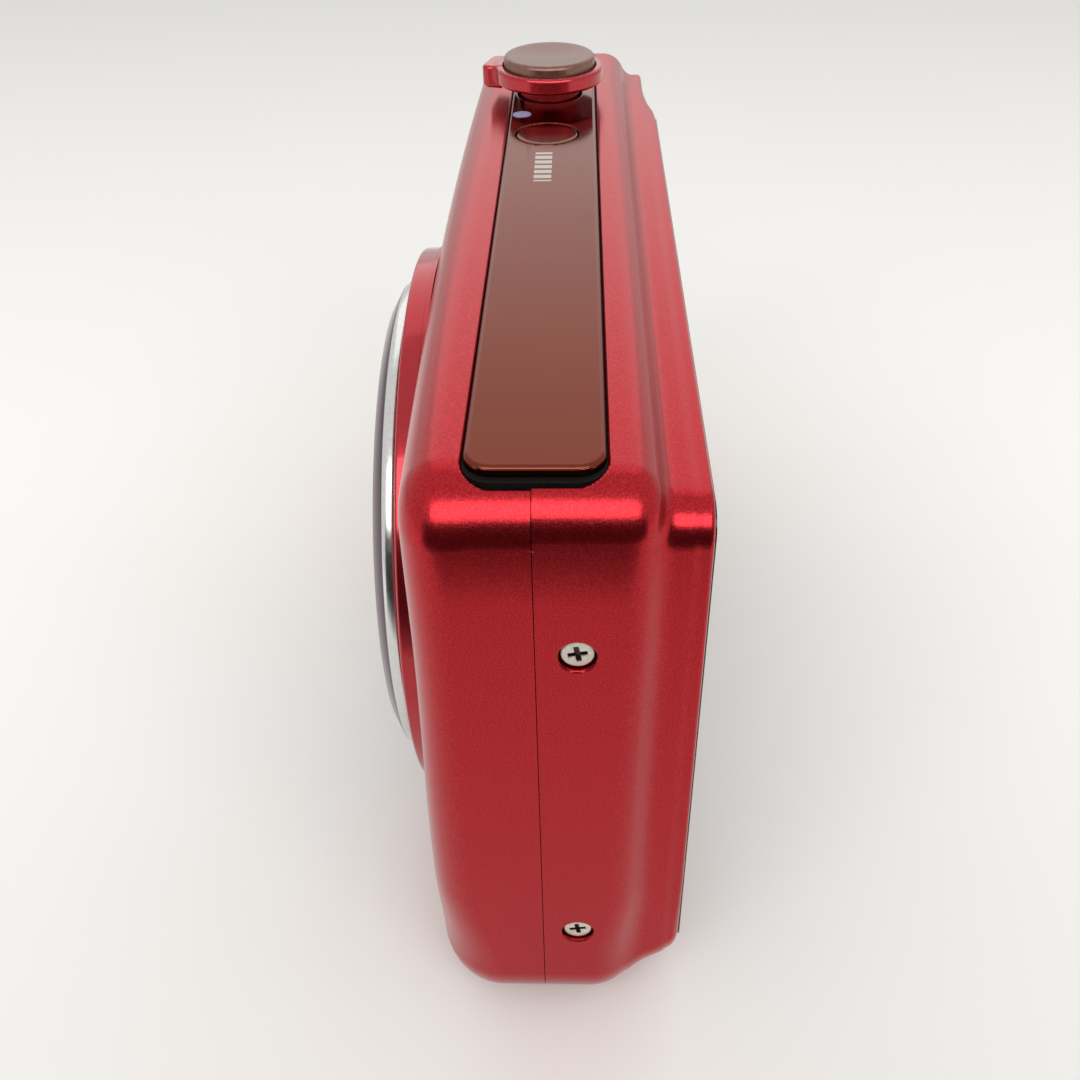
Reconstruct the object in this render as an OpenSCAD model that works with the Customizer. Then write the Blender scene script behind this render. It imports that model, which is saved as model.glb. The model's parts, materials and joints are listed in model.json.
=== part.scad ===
// Compact digital camera with a retracting zoom lens, as an assembly of named pieces.
// Millimetres. +Z is up, the lens looks along -Y and the display faces +Y.
// The shutter release is toward -X. The camera stands on its base plane z = 0.

/* [Body] */
// length of the closed body, end to end
body_length = 98; // [94:0.5:104]
// height of the body without the shutter release
body_height = 59.2; // [57:0.2:62]
// depth of the front cover, from the seam to the front face
front_depth = 9.8; // [9:0.1:11]
// depth of the rear cover, from the seam to the low rear face
rear_depth = 8.6; // [7.8:0.1:9]
// depth from the seam to the raised rear face round the display
ledge_depth = 11.9; // [11.2:0.1:12.5]
// wall thickness of both covers
wall = 1.1; // [0.9:0.1:1.3]
// radius of the long outer edges of both covers
edge_r = 3.1; // [2.6:0.1:3.2]
// radius of the upper corners seen from the front
top_corner_r = 3.6; // [3.5:0.1:5]
// radius of the lower corner away from the shutter release
base_corner_r = 6.4; // [5:0.1:8]

/* [Top strip] */
// width of the glossy strip let into the top
strip_width = 9.3; // [8:0.1:10]
// height of the strip above the top face
strip_proud = 0.4; // [0.2:0.05:0.6]
// radius of the corners of the strip
strip_corner_r = 2; // [1.5:0.1:3.5]

/* [Lens] */
// distance of the lens axis from the middle of the body
lens_x = 10.5; // [8:0.5:12]
// height of the lens axis above the base
lens_z = 29.2; // [29:0.1:30]
// outer radius of the chrome ring round the lens
trim_r = 23.8; // [23.3:0.1:23.9]
// outer radius of the foot of the painted ring
ring_foot_r = 27; // [26.8:0.1:27.4]
// travel of the outer lens barrel
outer_travel = 10; // [6:0.5:10]
// travel of the middle barrel out of the outer barrel
middle_travel = 9; // [5:0.5:10]
// travel of the inner barrel out of the middle barrel
inner_travel = 7; // [4:0.5:9]

/* [Controls] */
// distance of the shutter release from the middle of the body
shutter_x = -28.5; // [-30:0.5:-26]
// radius of the shutter release
shutter_r = 5.1; // [4.8:0.1:5.3]
// outer radius of the zoom collar round the shutter release
collar_r = 6; // [5.9:0.1:6.4]
// distance of the power button from the middle of the body
power_x = -15.1; // [-16:0.1:-13]
// radius of the power button
power_r = 3.2; // [2.8:0.1:3.6]

/* [Power and storage] */
// width of the battery
battery_width = 29; // [28:0.5:29]
// thickness of the battery
battery_thick = 7; // [6:0.1:7]
// height of the battery
battery_height = 40; // [36:0.5:40]

/* [Hidden] */
$fn = 96;

// colours
red = [0.62, 0.12, 0.14];
smoke = [0.50, 0.31, 0.26];
black = [0.05, 0.05, 0.06];
dark = [0.16, 0.16, 0.18];
steel = [0.72, 0.72, 0.74];
brass = [0.78, 0.62, 0.32];
green = [0.10, 0.34, 0.20];
glass = [0.55, 0.66, 0.75];
white = [0.90, 0.90, 0.88];

// the display panel stands a little proud of the raised rear face
panel_proud = 0.25;
panel_y = ledge_depth + panel_proud;
trim_front = 14.6;
// the seam plane is moved so that the whole camera is centred front to back
seam_y = (trim_front - panel_y) / 2;
half = body_length / 2;

// raised rear face
ledge_inset = 1.9;
ledge_z0 = 5.2;
ledge_z1 = body_height - 2.45;
ledge_r = 2.4;
thumb_x = -34.5;
thumb_depth = ledge_depth - 1.1;

// base corner beside the battery door is tighter, so the door stays in the flat
door_corner_r = 5.4;

// top strip and its pocket
strip_gap = 0.12;
strip_mid_y = 0.16;
strip_x1 = half - 3.1;
strip_x0 = -half + 3.1;
strip_thick = 1.3;
pocket_z = body_height + strip_proud - strip_thick;
pocket_over = 0.7;

// line of the controls along the strip, and the lamp beside the power button
control_y = -0.3;
lamp_x = power_x - 6.3;
lamp_y = control_y - 2.9;
lamp_r = 1;

// zoom collar: hub, disc and the rim round the shutter release
hub_r = 3.4;
hub_hole_r = 3.7;
collar_z0 = 61.1;
collar_z1 = 61.7;
collar_z2 = 62.8;
tab_turn = -107;

// display panel and opening
panel_x0 = -33.6;
panel_x1 = half - 3.2;
panel_z0 = 6.6;
panel_z1 = body_height - 3.8;
panel_thick = 1;
view_x0 = -17;
view_z0 = 8;
view_z1 = 53.4;

// rear controls
pad_x = -25.4;
pad_z = 22;
pad_r = 6.8;
key_r = 2.3;
key_low_z = 10.6;
key_low_dx = 4;
key_high_z = 35;
key_top_z = 44;
key_gap = 0.15;
key_travel = 0.3;

// case screws
screw_head_r = 1.2;
screw_hole_r = 1.36;
screw_shank_r = 0.7;
screw_y = 2.95;
screw_low_z = 12.95;
screw_high_z = 45.9;
screw_sink = 0.35;
base_screw_x = [40, 14, -6];

// battery door and its hinge
door_x0 = -43.3;
door_y0 = -6.6;
door_y1 = 4.6;
door_thick = 1;
door_axis_x = -11.9;
door_axis_z = 0.5;
hinge_edge = 0.78;
hinge_seat = 0.5;
door_knuckle_y0 = -5;
door_knuckle_y1 = 3;
pin_r = 0.28;
pin_hole_r = 0.32;
seat_gap = 0.1;

// connector cover and its hinge
port_y0 = 0.6;
port_y1 = 4.9;
port_axis_x = -half + 0.5;
port_axis_z = 20.6;
port_z1 = 33.9;
port_knuckle_y0 = 1.2;
port_knuckle_y1 = 4.3;

// battery, card and cage
battery_x0 = -43;
battery_y0 = -6.4;
battery_z0 = 3.6;
cage_gap = 0.3;
cage_wall = 0.8;
card_x0 = -39.5;
card_y0 = 1.9;
card_wide = 24;
card_thick = 2.1;
card_tall = 32;

// tripod bush
bush_x = 30;
bush_y = -1;
bush_r = 4.6;
bush_bore_r = 3.2;
bush_bore_depth = 5.5;

// flash and lamp
flash_x = -24;
flash_z = 49.4;
flash_w = 17;
flash_h = 7.6;
af_x = -10;
af_z = 51.6;
af_r = 1.8;

// lens construction, y measured from the seam
housing_r = 23.2;
housing_bore = 22.2;
outer_r = 19.6;
middle_r = 18.2;
inner_r = 16.8;
barrier_y = -12.8;
barrier_thick = 0.4;
barrier_pivot = 11.5;
barrier_r = 7.4;

// sheet metal plate between the lens unit and the main board
plate_y0 = 5.2;
plate_thick = 0.5;

module placed() {
  translate([0, seam_y, 0]) children();
}

// box given by its two far corners
module block(a, b) {
  translate(a) cube([b[0] - a[0], b[1] - a[1], b[2] - a[2]]);
}

// flat rectangle with round corners, standing on the x axis
module rounded(x0, y0, x1, y1, r) {
  translate([x0 + r, y0]) square([x1 - x0 - 2 * r, y1 - y0]);
  translate([x0, y0 + r]) square([x1 - x0, y1 - y0 - 2 * r]);
  for (x = [x0 + r, x1 - r], y = [y0 + r, y1 - r]) {
    translate([x, y]) circle(r);
  }
}

// plate in the x-z plane reaching from y0 to y1
module wall_plate(x0, z0, x1, z1, r, y0, y1) {
  translate([0, y1, 0]) rotate([90, 0, 0]) linear_extrude(y1 - y0) rounded(x0, z0, x1, z1, r);
}

// turned piece round the lens axis, profile drawn as radius and y
module lathe() {
  translate([lens_x, 0, lens_z]) rotate([-90, 0, 0]) rotate_extrude() children();
}

module band(r0, r1, y0, y1) {
  translate([r0, y0]) square([r1 - r0, y1 - y0]);
}

// cylinders along the three axes, from one end to the other
module rod_y(x, z, r, y0, y1) {
  translate([x, y0, z]) rotate([-90, 0, 0]) cylinder(h = y1 - y0, r = r);
}

module rod_x(y, z, r, x0, x1) {
  translate([x0, y, z]) rotate([0, 90, 0]) cylinder(h = x1 - x0, r = r);
}

module rod_z(x, y, r, z0, z1) {
  translate([x, y, z0]) cylinder(h = z1 - z0, r = r);
}

// outline of a body half: rt upper corners, rn and rf lower corners
module outline(w, h, rt, rn, rf) {
  translate([-w / 2 + rf, 0]) square([w - rn - rf, h - rt]);
  translate([-w / 2, rf]) square([w / 2, h - rt - rf]);
  translate([0, rn]) square([w / 2, h - rt - rn]);
  translate([-w / 2 + rt, h / 2]) square([w - 2 * rt, h / 2]);
  translate([w / 2 - rn, rn]) circle(rn);
  translate([-w / 2 + rf, rf]) circle(rf);
  for (s = [-1, 1]) {
    translate([s * (w / 2 - rt), h - rt]) circle(rt);
  }
}

// rounded edge section, re wide and d deep
module edge_section(re, d) {
  square([re, d - re]);
  translate([0, d - re]) intersection() {
    circle(re);
    square(re);
  }
}

// one rounded corner of radius r, turned round its own centre
module corner_turn(r, re, d) {
  rotate_extrude(angle = 90) translate([r - re, 0]) edge_section(re, d);
}

// straight rounded edge from a to b along x, lying on the line y = 0
module edge_run(a, b, re, d) {
  translate([a, 0, 0]) rotate([90, 0, 90]) linear_extrude(b - a) edge_section(re, d);
}

// half shell as a solid: flat back at z = 0, rounded edges at z = d
module slab(w, h, d, rt, rn, rf, re) {
  translate([0, re, 0]) linear_extrude(d)
    outline(w - 2 * re, h - 2 * re, rt - re, rn - re, rf - re);
  translate([0, h - re, 0]) edge_run(-w / 2 + rt, w / 2 - rt, re, d);
  translate([0, re, 0]) mirror([0, 1, 0]) edge_run(-w / 2 + rf, w / 2 - rn, re, d);
  translate([w / 2 - re, 0, 0]) rotate([0, 0, -90]) edge_run(-(h - rt), -rn, re, d);
  translate([-w / 2 + re, 0, 0]) rotate([0, 0, 90]) edge_run(rf, h - rt, re, d);
  translate([w / 2 - rt, h - rt, 0]) corner_turn(rt, re, d);
  translate([-w / 2 + rt, h - rt, 0]) mirror([1, 0, 0]) corner_turn(rt, re, d);
  translate([w / 2 - rn, rn, 0]) mirror([0, 1, 0]) corner_turn(rn, re, d);
  translate([-w / 2 + rf, rf, 0]) rotate([0, 0, 180]) corner_turn(rf, re, d);
}

module front_half() {
  rotate([90, 0, 0]) children();
}

module rear_half() {
  mirror([0, 1, 0]) rotate([90, 0, 0]) children();
}

// outer body form and the hollow inside it
module body_solid(d) {
  slab(body_length, body_height, d, top_corner_r, base_corner_r, door_corner_r, edge_r);
}

module body_hollow(d) {
  translate([0, wall, -1]) slab(body_length - 2 * wall, body_height - 2 * wall, d - wall + 1,
    top_corner_r - wall, base_corner_r - wall, door_corner_r - wall, edge_r - wall);
}

// pocket for the top strip
module strip_pocket() {
  translate([0, 0, pocket_z]) linear_extrude(4)
    rounded(strip_x0 - pocket_over, strip_mid_y - strip_width / 2 - strip_gap,
      strip_x1 + pocket_over, strip_mid_y + strip_width / 2 + strip_gap, strip_corner_r + strip_gap);
}

// holes through the top for the controls
module top_holes() {
  rod_z(shutter_x, control_y, hub_hole_r, body_height - 6, body_height + 3);
  rod_z(power_x, control_y, 2.1, body_height - 6, body_height + 3);
  rod_z(lamp_x, lamp_y, lamp_r + 0.05, body_height - 6, body_height + 3);
}

// openings in the base: battery door, hinge pin and tripod bush
module base_holes() {
  block([door_x0 - seat_gap, door_y0 - seat_gap, -1],
    [door_axis_x - hinge_seat, door_y1 + seat_gap, wall + 1]);
  block([door_axis_x - hinge_edge, door_knuckle_y0 - seat_gap, -1],
    [door_axis_x + 0.65, door_knuckle_y1 + seat_gap, wall + 1]);
  rod_y(door_axis_x, door_axis_z, pin_hole_r, door_y0 + 0.1, door_y1 - 0.1);
  rod_z(bush_x, bush_y, bush_r + 0.05, -1, wall + 2);
}

module front_cover() {
  color(red) placed() difference() {
    union() {
      difference() {
        front_half() body_solid(front_depth);
        front_half() body_hollow(front_depth);
      }
      block([strip_x0 - 1, strip_mid_y - strip_width / 2 - 1, pocket_z - 1],
        [strip_x1 + 1, 0, pocket_z + 0.3]);
    }
    strip_pocket();
    top_holes();
    base_holes();
    rod_y(lens_x, lens_z, 25.1, -front_depth - 1, -front_depth + 3);
    wall_plate(flash_x - flash_w / 2, flash_z - flash_h / 2,
      flash_x + flash_w / 2, flash_z + flash_h / 2, 1, -front_depth - 1, -front_depth + 3);
    rod_y(af_x, af_z, af_r, -front_depth - 1, -front_depth + 3);
    rod_y(37, 52.5, 0.4, -front_depth - 1, -front_depth + 3);
    for (i = [0:2]) {
      wall_plate(39.8, 7.6 + 1.6 * i, 44.2, 8.2 + 1.6 * i, 0.29, -front_depth - 1, -front_depth + 3);
    }
    // strap slot in the grip end
    translate([-half - 1, 0, 0]) rotate([90, 0, 90]) linear_extrude(4)
      rounded(-6, 44, -2, 52, 1.9);
  }
}

// solid of the rear half with the raised face and the lower thumb rest
module rear_solid() {
  rear_half() body_solid(rear_depth);
  wall_plate(-half + ledge_inset, ledge_z0, half - ledge_inset, ledge_z1, ledge_r,
    rear_depth - 2, thumb_depth);
  wall_plate(thumb_x, ledge_z0, half - ledge_inset, ledge_z1, ledge_r, thumb_depth - 1, ledge_depth);
}

module rear_hollow() {
  rear_half() body_hollow(rear_depth);
  wall_plate(-half + ledge_inset + wall, ledge_z0 + wall, half - ledge_inset - wall, ledge_z1 - wall,
    ledge_r - wall, 1, thumb_depth - wall);
  wall_plate(thumb_x + wall, ledge_z0 + wall, half - ledge_inset - wall, ledge_z1 - wall,
    ledge_r - wall, thumb_depth - wall - 1, ledge_depth - 1.6);
}

// openings for the rear keys, wider by g than the keys
module key_holes(g) {
  rod_y(pad_x, pad_z, pad_r + g, 5, ledge_depth + 1);
  for (s = [-1, 1]) {
    rod_y(pad_x + s * key_low_dx, key_low_z, key_r + g, 5, ledge_depth + 1);
  }
  rod_y(pad_x, key_high_z, key_r + g, 5, ledge_depth + 1);
  rod_y(pad_x, key_top_z, key_r + g, 5, ledge_depth + 1);
}

// holes for the case screws in both ends and in the base
module screw_holes() {
  for (m = [0, 1], z = [screw_low_z, screw_high_z]) {
    mirror([m, 0, 0]) {
      rod_x(screw_y, z, screw_hole_r, half - 1.1, half + 1);
      rod_x(screw_y, z, screw_shank_r + 0.15, half - 4, half);
    }
  }
  for (x = base_screw_x) {
    rod_z(x, screw_y, screw_hole_r, -1, 1.1);
    rod_z(x, screw_y, screw_shank_r + 0.15, 0, 4);
  }
}

module rear_cover() {
  color(red) placed() difference() {
    union() {
      difference() {
        rear_solid();
        rear_hollow();
      }
      block([strip_x0 - 1, 0, pocket_z - 1],
        [strip_x1 + 1, strip_mid_y + strip_width / 2 + 1, pocket_z + 0.3]);
      for (m = [0, 1], z = [screw_low_z, screw_high_z]) {
        mirror([m, 0, 0]) rod_x(screw_y, z, 2.2, half - 2.1, half - 0.5);
      }
      for (x = base_screw_x) {
        rod_z(x, screw_y, 2.2, 0.5, 2.2);
      }
    }
    strip_pocket();
    top_holes();
    base_holes();
    screw_holes();
    // display panel seat and the window behind it
    wall_plate(panel_x0 - 0.1, panel_z0 - 0.1, panel_x1 + 0.1, panel_z1 + 0.1, 2.1,
      panel_y - panel_thick, ledge_depth + 1);
    wall_plate(view_x0 - 0.5, view_z0 - 0.5, panel_x1 - 1.3, view_z1 + 0.5, 1, 5, ledge_depth);
    key_holes(key_gap);
    // connector opening and hinge pin
    block([-half - 1, port_y0 - seat_gap, port_axis_z + hinge_seat],
      [-half + wall + 1, port_y1 + seat_gap, port_z1 + seat_gap]);
    block([-half - 1, port_knuckle_y0 - seat_gap, port_axis_z - 0.65],
      [-half + wall + 1, port_knuckle_y1 + seat_gap, port_axis_z + hinge_edge]);
    rod_y(port_axis_x, port_axis_z, pin_hole_r, port_y0 - 0.3, port_y1 + 0.3);
  }
}

module top_strip() {
  color(smoke) placed() difference() {
    translate([0, 0, pocket_z]) linear_extrude(strip_thick)
      rounded(strip_x0, strip_mid_y - strip_width / 2,
        strip_x1, strip_mid_y + strip_width / 2, strip_corner_r);
    rod_z(shutter_x, control_y, hub_hole_r, 50, 70);
    rod_z(power_x, control_y, power_r + 0.12, pocket_z - 1, 70);
    rod_z(lamp_x, lamp_y, lamp_r + 0.05, 50, 70);
  }
}

// countersunk case screw along +z, top of the head at z = 0
module case_screw(l) {
  difference() {
    union() {
      translate([0, 0, -0.6]) cylinder(h = 0.6, r = screw_head_r);
      translate([0, 0, -l]) cylinder(h = l - 0.3, r = screw_shank_r);
    }
    for (a = [10, 100]) {
      rotate([0, 0, a]) translate([-0.7, -0.18, -0.4]) cube([1.4, 0.36, 1]);
    }
  }
}

module end_screws() {
  color(steel) placed() for (m = [0, 1], z = [screw_low_z, screw_high_z]) {
    mirror([m, 0, 0]) translate([half - screw_sink, screw_y, z]) rotate([0, 90, 0]) case_screw(3);
  }
}

module base_screws() {
  color(steel) placed() for (x = base_screw_x) {
    translate([x, screw_y, screw_sink]) rotate([180, 0, 0]) case_screw(3);
  }
}

module lens_base_ring() {
  color(red) placed() lathe() {
    polygon([[24.2, -8.6], [24.2, -10.6], [26.2, -11.95], [26.6, -11.95], [26.8, -11.7], [26.8, -10.6],
      [ring_foot_r, -10.3], [ring_foot_r, -front_depth], [25, -front_depth], [25, -8.6]]);
  }
}

module lens_trim_ring() {
  color(steel) placed() lathe() {
    polygon([[20.1, -9], [20.1, -trim_front + 0.4], [20.5, -trim_front], [trim_r - 2.1, -trim_front],
      [trim_r - 0.3, -trim_front + 1], [trim_r, -trim_front + 1.8], [trim_r, -12.5],
      [22.6, -12.5], [22.6, -9]]);
  }
}

module flash_window() {
  color(white) placed() {
    wall_plate(flash_x - flash_w / 2 + 0.05, flash_z - flash_h / 2 + 0.05, flash_x + flash_w / 2 - 0.05,
      flash_z + flash_h / 2 - 0.05, 0.95, -front_depth + 0.1, -front_depth + 1.3);
  }
}

module flash_reflector() {
  color(steel) placed() difference() {
    block([flash_x - 8, -front_depth + 1.4, flash_z - 3.6], [flash_x + 8, -4.2, flash_z + 3.6]);
    translate([flash_x - 7.4, -front_depth + 1.4, flash_z]) rotate([0, 90, 0])
      cylinder(h = 14.8, r = 3.2);
    block([flash_x - 9, -6.6, flash_z - 1.05], [flash_x + 9, -4.5, flash_z + 1.05]);
  }
}

module flash_tube() {
  color(glass) placed() rod_x(-5.5, flash_z, 0.95, flash_x - 9, flash_x + 9);
}

module af_lamp_window() {
  color([0.9, 0.5, 0.2]) placed() rod_y(af_x, af_z, af_r - 0.05, -front_depth + 0.1, -front_depth + 2.6);
}

module lcd_panel() {
  color(black) placed() difference() {
    wall_plate(panel_x0, panel_z0, panel_x1, panel_z1, 2, panel_y - panel_thick, panel_y);
    key_holes(key_gap);
  }
}

module lcd_module() {
  color(dark) placed() block([view_x0 - 0.4, 7.5, view_z0 - 1.4], [panel_x1 - 1.4, 9.8, view_z1 + 1.2]);
}

module chassis_frame() {
  color(steel) placed() difference() {
    union() {
      block([-half + 2.2, plate_y0, 8], [half - 2.2, plate_y0 + plate_thick, 52]);
      for (m = [0, 1], z = [screw_low_z, screw_high_z]) {
        mirror([m, 0, 0]) block([half - 2.8, 1, z - 3], [half - 2.1, plate_y0 + plate_thick, z + 3]);
      }
      block([-9, plate_y0, 2.2], [42, plate_y0 + plate_thick, 10]);
      block([-9, -3.4, 2.2], [42, plate_y0 + plate_thick, 2.9]);
      block([23, -6.4, 2.2], [37, 0, 2.9]);
    }
    for (m = [0, 1], z = [screw_low_z, screw_high_z]) {
      mirror([m, 0, 0]) rod_x(screw_y, z, screw_shank_r + 0.03, half - 4, half);
    }
    for (x = base_screw_x) {
      rod_z(x, screw_y, screw_shank_r + 0.03, 1, 4);
    }
    rod_z(bush_x, bush_y, bush_r + 0.05, 0, 5);
    block([lens_x - 8, plate_y0 - 1, lens_z - 7], [lens_x + 8, plate_y0 + 1, lens_z + 7]);
  }
}

module tripod_bush() {
  color(steel) placed() difference() {
    union() {
      rod_z(bush_x, bush_y, bush_r, 0.1, 7);
      rod_z(bush_x, bush_y, bush_r + 1.2, 2.95, 3.8);
    }
    rod_z(bush_x, bush_y, bush_bore_r, 0, 0.1 + bush_bore_depth);
  }
}

cage_x0 = battery_x0 - cage_gap;
cage_x1 = battery_x0 + battery_width + cage_gap;
cage_y0 = battery_y0 - cage_gap;
cage_y1 = battery_y0 + battery_thick + cage_gap;
cage_z1 = battery_z0 + battery_height + 1.2;

module battery_cage() {
  color(dark) placed() difference() {
    block([cage_x0 - cage_wall, cage_y0 - cage_wall, 2.4],
      [cage_x1 + cage_wall, cage_y1 + 0.5, cage_z1 + cage_wall]);
    block([cage_x0, cage_y0, 0], [cage_x1, cage_y1, cage_z1]);
    block([-20.3, 0, 0], [-15.7, 9, 3.5]);
    block([-41.5, -5.6, cage_z1 - 1], [-33.5, -0.4, cage_z1 + 2]);
  }
}

module battery() {
  color(dark) placed() block([battery_x0, battery_y0, battery_z0],
    [battery_x0 + battery_width, battery_y0 + battery_thick, battery_z0 + battery_height]);
}

module battery_contacts() {
  color(brass) placed() {
    for (i = [0:2]) {
      block([-40.7 + 2.4 * i, -4.4, battery_z0 + battery_height + 0.05],
        [-39.2 + 2.4 * i, -1.6, battery_z0 + battery_height + 0.35]);
      block([-40.7 + 2.4 * i, -2, battery_z0 + battery_height + 0.3],
        [-39.2 + 2.4 * i, -1.6, cage_z1 + 1.6]);
    }
    block([-41.3, -5.4, cage_z1 + 1.4], [-33.7, -0.6, cage_z1 + 2]);
  }
}

module card_slot() {
  color(steel) placed() difference() {
    block([card_x0 - 0.9, card_y0 - 0.35, 5],
      [card_x0 + card_wide + 0.9, card_y0 + card_thick + 0.75, 38]);
    block([card_x0 - 0.2, card_y0 - 0.1, 4],
      [card_x0 + card_wide + 0.2, card_y0 + card_thick + 0.15, 36.6]);
  }
}

module memory_card() {
  color([0.1, 0.2, 0.5]) placed() {
    translate([0, card_y0 + card_thick, 0]) rotate([90, 0, 0]) linear_extrude(card_thick) difference() {
      translate([card_x0, battery_z0]) square([card_wide, card_tall]);
      translate([card_x0, battery_z0 + card_tall]) rotate(45) square(5.6, center = true);
    }
  }
}

module main_board() {
  color(green) placed() difference() {
    union() {
      block([-13, 6.6, 8.5], [45.2, 7.2, 53]);
      block([18, 6, 12], [34, 6.6, 28]);
      block([20, 6, 33], [30, 6.6, 43]);
      block([36, 6, 14], [43, 6.6, 22]);
      block([-9, 6, 40], [1, 6.6, 50]);
      block([0, 6, 10], [8, 6.6, 15]);
    }
    rod_y(42.4, 11, 1.1, 5, 8);
    rod_y(42.4, 50.4, 1.1, 5, 8);
  }
}

module flash_capacitor() {
  color(dark) placed() rod_z(41, -3, 4, 17, 42);
}

module lens_housing() {
  color(dark) placed() difference() {
    lathe() {
      band(housing_bore, housing_r, -8.9, 4.2);
      band(20, 23.9, -9, -8.1);
      band(0, housing_r, 3.4, 4.2);
    }
    block([lens_x - 4.6, 2, lens_z - 3.6], [lens_x + 4.6, 5, lens_z + 3.6]);
  }
}

module image_sensor() {
  color([0.25, 0.2, 0.35]) placed() {
    block([lens_x - 7, 4.2, lens_z - 5.5], [lens_x + 7, 5.1, lens_z + 5.5]);
    block([lens_x - 3.8, 3.7, lens_z - 2.9], [lens_x + 3.8, 4.2, lens_z + 2.9]);
  }
}

module zoom_motor() {
  color(steel) placed() {
    rod_y(35, 50, 3.9, -6.5, 2);
    wall_plate(28.2, 46.6, 39, 54, 1.5, 2, 4.8);
  }
}

module cam_ring() {
  color(black) placed() difference() {
    lathe() band(19.9, 21.95, -7.8, 3.1);
    for (a = [0, 120, 240]) {
      translate([lens_x, -2.4, lens_z]) rotate([0, a, 0]) translate([19, -2.5, -0.9]) cube([4, 5, 1.8]);
    }
  }
}

module outer_barrel() {
  color(dark) placed() lathe() {
    band(outer_r - 1, outer_r, -14, 2.8);
  }
}

module middle_barrel() {
  color(dark) placed() lathe() {
    band(middle_r - 1, middle_r, -13.9, 2.5);
  }
}

module inner_barrel() {
  color(dark) placed() lathe() {
    difference() {
      band(inner_r - 1.6, inner_r, -13.8, 2.2);
      band(inner_r - 1.6, inner_r - 0.8, -14, -13);
    }
    band(8, inner_r - 1.5, -11.4, -10.9);
    band(8.7, inner_r - 1.5, -11, -10);
    band(8.7, 9.7, -10.5, -6.8);
  }
}

module name_ring() {
  color(black) placed() {
    lathe() polygon([[7.6, -13.8], [inner_r - 0.85, -13.8], [inner_r - 0.85, -13], [6.6, -13]]);
    for (s = [-1, 1]) {
      rod_y(lens_x + s * barrier_pivot, lens_z, 0.6, -13, -11.8);
    }
  }
}

module front_lens() {
  color(glass) placed() lathe() {
    band(0, 8.65, -10.9, -8.6);
    intersection() {
      translate([0, 4.1]) circle(15);
      band(0, 7.9, -14, -10);
    }
    intersection() {
      translate([0, -30.8]) circle(24);
      band(0, 8.4, -9, -6);
    }
  }
}

// half disc with a pivot ear, covering the upper half of the window
module barrier_shape() {
  difference() {
    union() {
      intersection() {
        circle(barrier_r);
        translate([-10, 0.05]) square([20, 10]);
      }
      translate([-barrier_pivot, 0]) circle(1.5);
      translate([-barrier_pivot, 0.05]) square([5, 1.45]);
    }
    translate([-barrier_pivot, 0]) circle(0.66);
  }
}

module barrier_blade_upper() {
  color(black) placed() translate([lens_x, barrier_y + barrier_thick, lens_z]) rotate([90, 0, 0])
    linear_extrude(barrier_thick) barrier_shape();
}

module barrier_blade_lower() {
  color(black) placed() translate([lens_x, barrier_y + barrier_thick, lens_z]) rotate([90, 0, 0])
    linear_extrude(barrier_thick) rotate(180) barrier_shape();
}

module zoom_lens_group() {
  color(glass) placed() lathe() {
    band(0, 7, -4.6, -3.2);
    band(7, 14.6, -5.2, -2.6);
  }
}

module focus_lens() {
  color(glass) placed() difference() {
    union() {
      lathe() {
        band(0, 5.4, 0.9, 2.1);
        band(5.3, 6.4, 0.6, 2.6);
      }
      block([lens_x - 13.4, 0.6, lens_z - 1.3], [lens_x - 6.1, 2.6, lens_z + 1.3]);
      block([lens_x + 6.1, 0.6, lens_z - 1.3], [lens_x + 13.4, 2.6, lens_z + 1.3]);
    }
    for (s = [-1, 1]) {
      rod_y(lens_x + s * 12, lens_z, 0.65, -3, 4);
    }
  }
}

module focus_rods() {
  color(steel) placed() for (s = [-1, 1]) {
    rod_y(lens_x + s * 12, lens_z, 0.6, -1.4, 3.4);
  }
}

module focus_motor() {
  color(dark) placed() for (s = [-1, 1]) {
    block([lens_x - 4, -0.6, lens_z + s * 9 - 1.4], [lens_x + 4, 3.4, lens_z + s * 9 + 1.4]);
  }
}

module strap_lug() {
  color(steel) placed() {
    rod_z(-half + 1.9, -4, 0.7, 43.2, 52.8);
    block([-half + 1.3, -5.2, 42.6], [-half + 4.2, -2.8, 43.3]);
    block([-half + 1.3, -5.2, 52.7], [-half + 4.2, -2.8, 53.4]);
    block([-half + 3.7, -6.4, 42.6], [-half + 4.3, -1.6, 53.4]);
  }
}

module usb_socket() {
  color(steel) placed() difference() {
    block([-half + 1.4, 1.5, 23.2], [-half + 6.6, 4.4, 31.2]);
    block([-half + 1, 1.85, 23.55], [-half + 6, 4.05, 30.85]);
  }
  color(black) placed() block([-half + 2.4, 2.6, 24.4], [-half + 6.1, 3.2, 30]);
}

module speaker() {
  color(dark) placed() rod_y(42, 9.8, 3.3, -front_depth + 1.2, -6.2);
}

module microphone() {
  color(steel) placed() rod_y(37, 52.5, 1.6, -front_depth + 1.2, -6.8);
}

module top_board() {
  color(green) placed() {
    block([-36, -4.3, 54.4], [-9, 3.4, 55]);
    rod_z(shutter_x, control_y, 1.6, 54.9, 55.4);
    rod_z(power_x, control_y, 1.4, 54.9, 55.9);
  }
}

module power_lamp() {
  color([0.4, 0.7, 0.95]) placed() rod_z(lamp_x, lamp_y, lamp_r, 55.2, pocket_z + strip_thick);
}

module door_hinge_pin() {
  color(steel) placed() rod_y(door_axis_x, door_axis_z, pin_r, door_y0 + 0.2, door_y1 - 0.2);
}

module port_hinge_pin() {
  color(steel) placed() rod_y(port_axis_x, port_axis_z, pin_r, port_y0 - 0.2, port_y1 + 0.2);
}

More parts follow.
